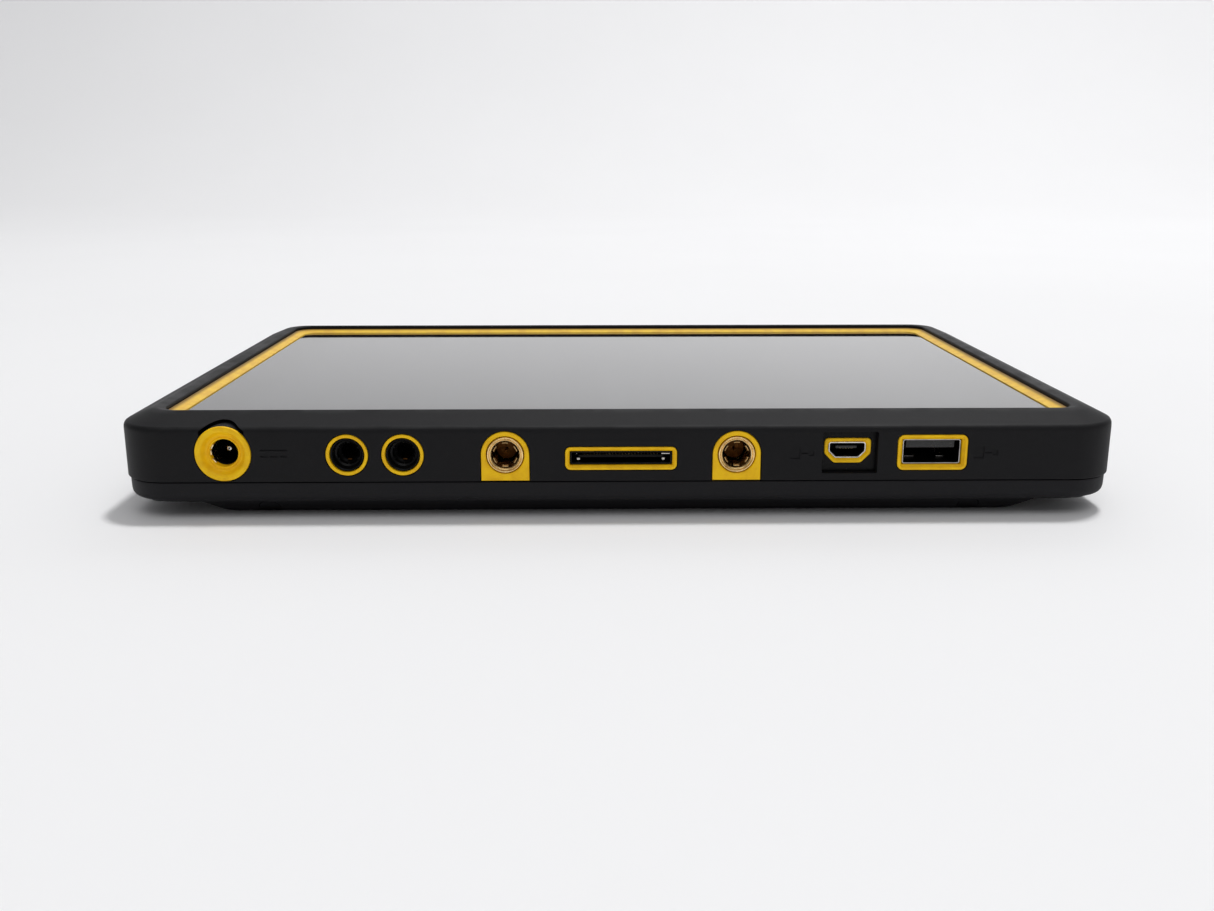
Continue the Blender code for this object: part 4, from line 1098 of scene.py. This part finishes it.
def aerial_sockets():
    bush = [
        (3.05, -9.0), (3.05, -0.95), (3.12, -0.7), (3.32, -0.42), (3.46, -0.36), (3.5, -0.62), (3.62, -0.66),
        (3.68, -0.3), (3.78, -0.2), (3.96, -0.2), (4.1, -0.36), (4.1, -3.2), (3.6, -3.4), (3.6, -9.0),
    ]
    profile = rounded(bush, (0, 0.05, 0.08, 0.08, 0.05, 0.03, 0.03, 0.05, 0.05, 0.06, 0.08, 0, 0, 0), 2)
    for side, centre in zip(("left", "right"), BRASS):
        place = (centre.x, FRONT, centre.z)
        fingers = repeated("fingers", finger(), FINISHES["brass"], 6, place, turn=(0, 60, 0))
        whole = merged(turned(profile, centre), from_object(fingers))
        socket = to_object(whole, f"aerial_socket_{side}", FINISHES["brass"])
        keep(shade(socket, 35), "brass", f"antenna_socket_{side}")
        pin = rounded([(0.02, -4.3), (0.28, -4.35), (0.34, -4.7), (0.36, -6.4), (2.35, -6.6), (2.35, -9.0)],
                      (0, 0.15, 0.1, 0.1, 0.1, 0), closed=False)
        rings = [upright(circle(radius, 32), FRONT - out, centre) for radius, out in pin]
        # The contact is painted dark brown, as shade at the back of the bore.
        contact = to_object(skin(rings), f"aerial_contact_{side}", PAINTED_SHADE_BRASS)
        keep(shade(contact), "brass", f"antenna_contact_{side}")


aerial_sockets()


# %% [markdown]
# ## Charging and audio sockets
#
# Behind the dished seal is a black jack with sprung contacts on one side and a pin whose tip is bright;
# behind its tip the pin is painted dark, as shade. The audio jacks are black to the bottom: a wide mouth, a
# step, and a narrow bore with a spring's edge in it, painted dark brown as shade.

# %% Charging and audio sockets
def power_socket():
    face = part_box("power_jack")[0].y / MM
    bore = rounded([(4.5, 0.0), (3.1, 0.0), (2.95, -0.3), (2.95, -9.5), (4.5, -9.5)], (0, 0.1, 0.1, 0, 0))
    rings = [upright(circle(radius, 48), face - out, POWER) for radius, out in bore]
    sleeve = skin(rings, closed=True)
    floor = skin([upright(circle(4.4, 48), face + y, POWER) for y in (9.4, 10.6)])
    jack = to_object(merged(sleeve, floor), "power_socket_body", DEEP_BLACK)
    keep(shade(jack), "gloss_black", "power_jack")
    tip = rounded([(0.2, 0.0), (0.55, -0.05), (0.9, -0.55), (0.9, -7.5)], (0, 0.2, 0.3, 0), closed=False)
    point = face + 2.0
    rings = [upright(circle(0.2, 32), point + 1.0, POWER)]
    rings += [upright(circle(radius, 32), point - out, POWER) for radius, out in tip]
    # Behind its tip the pin's plate is painted dark, as shade in the jack.
    pin = to_object(skin(rings), "power_socket_pin", plated_steel("power_pin_plate", point))
    keep(shade(pin), "plated_steel", "power_pin")
    leaves = []
    for turn in (28, 0, -38):
        leaf = box_mesh((-3.2, FRONT + 1.5, -0.6), (-2.78, FRONT + 6.5, 0.6), 0.12)
        leaves.append(moved(leaf, (POWER.x, 0, POWER.z), turn, "Y"))
    keep(shade(to_object(merged(*leaves), "power_socket_leaves", GOLD)), "brass")


def audio_sockets():
    for side, centre, node in zip(("left", "right"), AUDIO, ("headphone_jack", "microphone_jack")):
        points = [
            (3.66, -0.35), (3.5, -0.35), (3.2, -0.7), (3.0, -2.0), (2.55, -2.2), (2.55, -3.6), (1.95, -4.0),
            (1.8, -4.3), (1.8, -14.0), (3.66, -14.0),
        ]
        profile = rounded(points, (0.05, 0.08, 0.15, 0.1, 0.1, 0.1, 0.1, 0.1, 0, 0), 2)
        ribs = repeated(
            "ribs", box_mesh((-0.2, 2.3, -2.75), (0.2, 3.4, -2.3), 0.08), None, 6,
            (centre.x, FRONT, centre.z), turn=(0, 60, 0),
        )
        floor = skin([upright(circle(2.2, 32), FRONT + y, centre) for y in (13.2, 13.9)])
        whole = merged(turned(profile, centre, 56), from_object(ribs), floor)
        jack = to_object(whole, f"audio_socket_{side}", DEEP_BLACK)
        keep(shade(jack, 30), "gloss_black", node)
        spring = box_mesh((-0.5, 3.4, -1.9), (0.5, 8.0, -1.55), 0.1)
        moved(spring, (centre.x, FRONT, centre.z))
        # The spring is painted dark brown, as shade deep in the bore.
        keep(shade(to_object(spring, f"audio_spring_{side}", PAINTED_SHADE_BRASS)), "brass")


power_socket()
audio_sockets()


# %% [markdown]
# ## Dock and data sockets
#
# All three are stamped metal shells round a tongue of contacts. The shells are skinned from a thin closed
# profile, and the contacts are copies along a row.

# %% Dock and data sockets
def stamped_shell(name, shape, centre, mouth, length, node, thick=0.28, flare=0.22, bright=0.0):
    """A sheet-metal shell with a slightly flared lip and a closed back, bright to that depth and painted
    dark beyond it, as shade.
    """
    profile = [
        (-thick, -length + 0.5), (-thick, -0.6), (flare - thick, 0.0), (flare - 0.05, 0.02), (flare, -0.1),
        (0.0, -0.7), (0.0, -length),
    ]
    rings = [upright(shape(grow), mouth - out, centre) for grow, out in profile]
    # Painted shade: the plate darkens deeper than the mouth, moved by the offset bright.
    shell = to_object(skin(rings), name, plated_steel(name + "_plate", mouth + bright))
    return keep(shade(shell, 40), "plated_steel", node)


def contact_row(name, centre, width, count, y, z, size):
    """Gold contacts side by side along a tongue."""
    half_x, half_y, half_z = (s / 2 for s in size)
    pad = box_mesh((-half_x, -half_y, -half_z), (half_x, half_y, half_z), min(size) * 0.25, 1)
    pitch = width / (count - 1)
    start = (centre.x - width / 2, y, z)
    row = repeated(name, pad, GOLD, count, start, (pitch, 0, 0))
    return keep(shade(row), "brass")


def dock_connector():
    centre, half = middle("dock_shell"), half_size("dock_shell")
    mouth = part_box("dock_shell")[0].y / MM
    shape = lambda grow: rectangle(half.x + grow - 0.1, half.z + grow - 0.1, max(0.45 + grow, 0.12))
    stamped_shell("dock_connector_shell", shape, centre, mouth, 11, "dock_shell", 0.3, 0.05, -1.0)
    low, high = (Vector(c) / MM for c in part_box("dock_blade"))
    blade = to_object(box_mesh(low, high, 0.15), "dock_connector_blade", DEEP_BLACK)
    keep(shade(blade), "gloss_black", "dock_blade")
    contact_row("dock_contacts", centre, 16.4, 24, low.y + 2.6, high.z + 0.02, (0.36, 4.4, 0.14))
    clips = []
    for side in (-1, 1):
        x = centre.x + side * (half.x - 1.9)
        z = centre.z
        clips.append(box_mesh((x - 0.35, mouth + 0.9, z - 0.9), (x + 0.35, mouth + 4, z - 0.2), 0.12))
        clips.append(
            box_mesh((x - 0.5, mouth + 0.2, z + 0.75), (x + 0.9 * side + 0.5, mouth + 2, z + 1.0), 0.08)
        )
    keep(shade(to_object(merged(*clips), "dock_clips", FINISHES["plated_steel"])), "plated_steel")


def small_data_socket():
    centre, half = middle("micro_usb_shell"), half_size("micro_usb_shell")
    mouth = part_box("micro_usb_shell")[0].y / MM
    soft = lambda grow: max(0.25 + 0.4 * grow, 0.08)
    shape = lambda grow: hexagon(half.x + grow, half.z + grow, 1.45 + 0.6 * grow, soft(grow))
    stamped_shell("small_data_socket_shell", shape, centre, mouth - 0.1, 7, "micro_usb_shell", 0.26, 0.16)
    low, high = (Vector(c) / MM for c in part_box("micro_usb_tongue"))
    tongue = to_object(box_mesh(low, high, 0.12), "small_data_socket_tongue", FINISHES["gloss_black"])
    keep(shade(tongue), "gloss_black", "micro_usb_tongue")
    contact_row("small_data_contacts", centre, 2.6, 5, low.y + 2.2, low.z - 0.03, (0.32, 3.8, 0.12))


def data_socket():
    centre, half = middle("usb_shell"), half_size("usb_shell")
    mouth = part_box("usb_shell")[0].y / MM
    shape = lambda grow: rectangle(half.x + grow - 0.1, half.z + grow - 0.1, max(0.5 + grow, 0.15))
    stamped_shell("data_socket_shell", shape, centre, mouth, 13.5, "usb_shell", 0.22, 0.02, -0.4)
    low, high = (Vector(c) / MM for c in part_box("usb_tongue"))
    tongue = to_object(box_mesh(low, high, 0.22), "data_socket_tongue", FINISHES["gloss_black"])
    keep(shade(tongue), "gloss_black", "usb_tongue")
    contact_row("data_contacts", centre, 7.0, 4, low.y + 5.0, low.z - 0.04, (1.1, 7.5, 0.16))
    springs = []
    for x in (-3.6, 3.6):
        leaf = box_mesh((-1.1, 0, -0.12), (1.1, 5.5, 0.12), 0.08)
        springs.append(moved(leaf, (centre.x + x, mouth + 5.0, centre.z - half.z + 0.5), 7, "X"))
    keep(shade(to_object(merged(*springs), "data_socket_springs", FINISHES["plated_steel"])), "plated_steel")


def pocket_liner():
    """The gloss insert on the floor of the small data socket's pocket."""
    outline = pocket_shape(-0.05)
    rings = [
        upright(outline, FRONT + POCKET_DEPTH - 0.02, POCKET),
        upright(outline, FRONT + POCKET_DEPTH - 0.12, POCKET),
    ]
    liner = to_object(skin(rings), "pocket_liner", DEEP_BLACK)
    carve(liner, skin([upright(micro_shape(0.1), y, MICRO) for y in (FRONT, FRONT + 4)]))
    keep(shade(liner), "gloss_black")


dock_connector()
small_data_socket()
data_socket()
pocket_liner()


# %% [markdown]
# ## Keys, feet, screws and the underside
#
# The keys are soft caps with domed faces in a shallow pocket on the far side, each riding on its own body.
# The underside has domed feet in the skirt, six screws, a ribbed battery cover with two thumb latches, and
# the camera window. Plugs cover the four screws that sit in the slope.

# %% Keys
def key_caps():
    for name in KEYS:
        centre, shape = middle(name), key_shape(name)
        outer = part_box(name)[1].y / MM
        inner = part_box(name)[0].y / MM
        dome = [(0.0, outer - 0.75), (-0.06, outer - 0.42), (-0.3, outer - 0.17), (-0.8, outer - 0.05),
                (-1.6, outer)]
        rings = [upright(shape(0.58), y, centre) for y in (inner, inner + 0.75)]
        rings += [upright(shape(grow), y, centre) for grow, y in [(0.0, inner + 0.76)] + dome]
        cap = to_object(skin(rings), name + "_cap", FINISHES["soft_black"])
        marks = []
        if name == "power_button":
            ring = [(1.25, 0.05), (1.25, -0.3), (1.0, -0.3), (1.0, 0.05)]
            marks.append(skin([upright(circle(r, 40), outer + y, centre) for r, y in ring], closed=True))
        elif name == "volume_rocker":
            for x in (-6.8, 6.8):
                marks.append(box_mesh((centre.x + x - 1.2, outer - 0.25, KEY_Z - 0.15),
                                      (centre.x + x + 1.2, outer + 0.3, KEY_Z + 0.15)))
        else:
            count = 1 if name.endswith("1") else 2
            for i in range(count):
                x = centre.x + 1.6 * (i - (count - 1) / 2)
                dot = [upright(circle(0.42, 24), y, (x, KEY_Z)) for y in (outer - 0.25, outer + 0.3)]
                marks.append(skin(dot))
        carve(cap, merged(*marks))
        cap.data.materials.clear()
        cap.data.materials.append(FINISHES["soft_black"])
        keep(shade(cap, 40), "soft_black", name, body=name)


# %% Feet and screws
def feet():
    for node in FEET:
        centre, radius = middle(node), half_size(node).x
        low, high = (corner.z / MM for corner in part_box(node))
        points = [
            (0.05, low), (radius * 0.55, low), (radius * 0.86, low + 0.25), (radius, low + 0.85),
            (radius, high),
        ]
        profile = rounded(points, (0, 1.2, 0.7, 0.3, 0), closed=False)
        rings = [flat(circle(r, 48), z, centre) for r, z in profile]
        foot = to_object(skin(rings), node + "_cap", FINISHES["soft_black"])
        keep(shade(foot), "soft_black", node)


def screw_shape():
    """A pan head with a six-lobed socket, head down, about its own axis."""
    low, high = (corner.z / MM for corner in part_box(SCREWS[0]))
    steps, lobe_count, lobe = 48, 6, 0.16
    angles = [2 * math.pi * i / steps for i in range(steps)]
    reach = [1.0 + lobe * math.cos(lobe_count * a) for a in angles]
    outline = [(r * math.cos(a), r * math.sin(a)) for r, a in zip(reach, angles)]
    rings = [flat(outline, low + 0.75), flat(outline, low + 0.02)]
    head = ((1.45, 0.0), (1.9, 0.1), (2.15, 0.45), (2.2, 0.8), (2.2, 1.3), (1.0, 1.3))
    rings += [flat(circle(radius, steps), low + up) for radius, up in head]
    rings.append(flat(circle(1.0, steps), high))
    return skin(rings)


def screws():
    """Two rows of two on the long sides, and one at each end."""
    rows = []
    for pair in (SCREWS[:2], SCREWS[2:4], SCREWS[4:]):
        first, second = (middle(node) for node in pair)
        start = (first.x, first.y, 0)
        step = (second.x - first.x, second.y - first.y, 0)
        rows.append(from_object(repeated("row", screw_shape(), FINISHES["plated_steel"], 2, start, step)))
    row = to_object(merged(*rows), "housing_screws", FINISHES["plated_steel"])
    keep(shade(row), "plated_steel", *SCREWS)


def screw_plugs():
    """Rubber plugs over the screws of the long sides, flush with the slope that they sit in."""
    solid = skin([shell_ring(*point) for point in lower_profile()])
    plugs = to_object(solid, "screw_plugs")
    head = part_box(SCREWS[0])[0].z / MM
    heights = (-0.5, head - 0.15)
    rods = [skin([flat(circle(2.4, 40), z, middle(node)) for z in heights]) for node in SCREWS[:4]]
    carve(plugs, merged(*rods), "INTERSECT")
    plugs.data.materials.clear()
    plugs.data.materials.append(LOWER_FINISH)
    keep(shade(plugs), "soft_black")


# %% Battery cover, latches and camera
def battery_cover():
    outline = lambda inset: rectangle(COVER_HALF.x - inset, COVER_HALF.y - inset, 3.7 - inset * 0.8, 8)
    steps = [(3.0, 0.0), (0.35, 0.0), (0.1, 0.08), (0.0, 0.3), (0.0, 1.45), (2.0, 1.45)]
    cover = to_object(skin([flat(outline(inset), z, COVER) for inset, z in steps]), "battery_door")
    groove = skin([
        [(-18, -0.9, -0.2), (18, -0.9, -0.2), (18, 0.9, -0.2), (-18, 0.9, -0.2)],
        [(-17.6, -0.35, 0.35), (17.6, -0.35, 0.35), (17.6, 0.35, 0.35), (-17.6, 0.35, 0.35)],
    ])
    start = (COVER.x, COVER.y - COVER_HALF.y + 8, 0)
    carve(cover, from_object(repeated("grooves", groove, None, 7, start, (0, 2.6, 0))))
    panel = lambda inset: rectangle(34 - inset, 13 - inset, 2.0)
    at = (COVER.x, COVER.y + 14)
    carve(cover, skin([flat(panel(0.0), -0.2, at), flat(panel(0.1), 0.1, at), flat(panel(0.2), 0.25, at)]))
    for side in LATCHES.values():
        x0, x1 = sorted((side * 52.8, side * 54.9))
        carve(cover, box_mesh((x0, COVER.y - 6, 1.2), (x1, COVER.y + 6, 4.3), 0.2), "UNION")
        x0, x1 = sorted((side * 52, side * 56))
        carve(cover, box_mesh((x0, COVER.y - 4.3, 1.9), (x1, COVER.y + 4.3, 3.2)))
    cover.data.materials.clear()
    cover.data.materials.append(FINISHES["housing"])
    keep(shade(cover), "housing", "battery_cover")


def latches():
    for name, side in LATCHES.items():
        parts = []
        plate, bolt = (58.5, 68.1, 6.2, 2.2, 3.0, 0.1), (53.2, 59, 4.0, 2.25, 2.95, 0.15)
        for x0, x1, half_y, z0, z1, edge in (plate, bolt):
            x_low, x_high = sorted((side * x0, side * x1))
            parts.append(box_mesh((x_low, COVER.y - half_y, z0), (x_high, COVER.y + half_y, z1), edge))
        x_low, x_high = sorted((side * 58.6, side * 68.0))
        parts.append(box_mesh((x_low, COVER.y - 5, 0.75), (x_high, COVER.y + 5, 2.4), 0.25))
        rib = box_mesh((-0.45, -4.2, 0.3), (0.45, 4.2, 1.1), 0.28, 3)
        start = (side * 59.9, COVER.y, 0)
        ribs = repeated("ribs", rib, None, 4, start, (side * 2.25, 0, 0))
        whole = merged(*parts, from_object(ribs))
        latch = to_object(whole, name + "_slider", FINISHES["gloss_black"])
        keep(shade(latch), "gloss_black", name, body=name)


def camera_windows():
    for node, name in (("camera_window", "camera_glass"), ("flash_window", "flash_glass")):
        centre, radius = middle(node), half_size(node).x
        low, high = (corner.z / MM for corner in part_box(node))
        steps = [(radius * 0.6, low), (radius - 0.15, low), (radius, low + 0.15), (radius, high)]
        rings = [flat(circle(r, 56), z, centre) for r, z in steps]
        keep(shade(to_object(skin(rings), name, FINISHES["window_glass"]), 20), "window_glass", node)


key_caps()
feet()
screws()
screw_plugs()
battery_cover()
latches()
camera_windows()


# %% [markdown]
# ## Floor, light and camera
#
# The tablet lies on a pale sweep. One lamp high up and a little behind it, to the right, makes the shadow's
# edge in front, and a wide ceiling light, a weaker front light and a dim surround fill it in. Two more lamps
# light the sweep behind, which is one sheet that curves up, so no horizon shows.

# %% Floor and sweep
def sweep_finish():
    f = Finish("pale_sweep")
    base = f.mix(f.noise(220, 3.0), (0.855, 0.855, 0.862), (0.885, 0.885, 0.892))
    return f.finish(Base_Color=base, Roughness=0.85, Normal=f.bump(f.noise(1.5, 3.0), 0.02, 0.2))


def sweep():
    bend, back, wide, tall, front = 0.7, 1.1, 3.0, 2.2, -1.6
    angles = [math.radians(a) for a in range(6, 90, 6)]
    run = [(front, 0.0), (back, 0.0)]
    run += [(back + bend * math.sin(a), bend - bend * math.cos(a)) for a in angles]
    run += [(back + bend, bend), (back + bend, tall)]
    bm = bmesh.new()
    rows = [[bm.verts.new((x, y, z)) for x in (-wide, wide)] for y, z in run]
    for near, far in zip(rows, rows[1:]):
        bm.faces.new((near[0], near[1], far[1], far[0]))
    floor = to_object(bm, "sweep", sweep_finish())
    floor.data.shade_smooth()


# %% Light and camera
def area_light(name, place, target, size, watts):
    light = bpy.data.lights.new(name, "AREA")
    light.shape = "RECTANGLE"
    light.size, light.size_y = size
    light.energy = watts
    lamp = bpy.data.objects.new(name, light)
    lamp.location = place
    lamp.rotation_euler = (Vector(target) - Vector(place)).to_track_quat("-Z", "Y").to_euler()
    bpy.context.scene.collection.objects.link(lamp)


def world_light(strength):
    world = bpy.data.worlds.new("studio")
    world.use_nodes = True
    background = world.node_tree.nodes["Background"]
    background.inputs["Color"].default_value = (0.975, 0.975, 1.0, 1.0)
    background.inputs["Strength"].default_value = strength
    bpy.context.scene.world = world


CAMERA_PLACE = (-0.0067, -0.3333, 0.0805)
CAMERA_DOWN, CAMERA_HEADING = 14.27, -0.79
CAMERA_LENS = 35.35


def camera():
    data = bpy.data.cameras.new("camera")
    data.sensor_width = 36.0
    data.lens = CAMERA_LENS
    data.clip_start = 0.01
    eye = bpy.data.objects.new("camera", data)
    eye.location = CAMERA_PLACE
    eye.rotation_euler = Euler((math.radians(90 - CAMERA_DOWN), 0, math.radians(CAMERA_HEADING)))
    bpy.context.scene.collection.objects.link(eye)
    bpy.context.scene.camera = eye


sweep()
world_light(0.25)
LAMPS = (
    ("top", (0.6, 0.5, 3.0), (0, 0.0, 0), (0.45, 0.35), 49.0),
    ("ceiling", (0.2, -0.2, 2.8), (0.2, -0.2, 0), (2.4, 2.4), 11.0),
    ("front", (0.1, -1.0, 1.3), (0.0, -0.1, 0), (1.2, 0.8), 4.0),
    ("back", (-0.2, 0.5, 1.6), (-0.3, 1.8, 1.3), (1.2, 0.8), 0.6),
    ("right", (1.3, 0.4, 1.4), (1.1, 1.7, 1.2), (0.8, 0.8), 5.0),
)
for lamp in LAMPS:
    area_light(*lamp)
camera()
bpy.context.scene.view_settings.view_transform = "Standard"
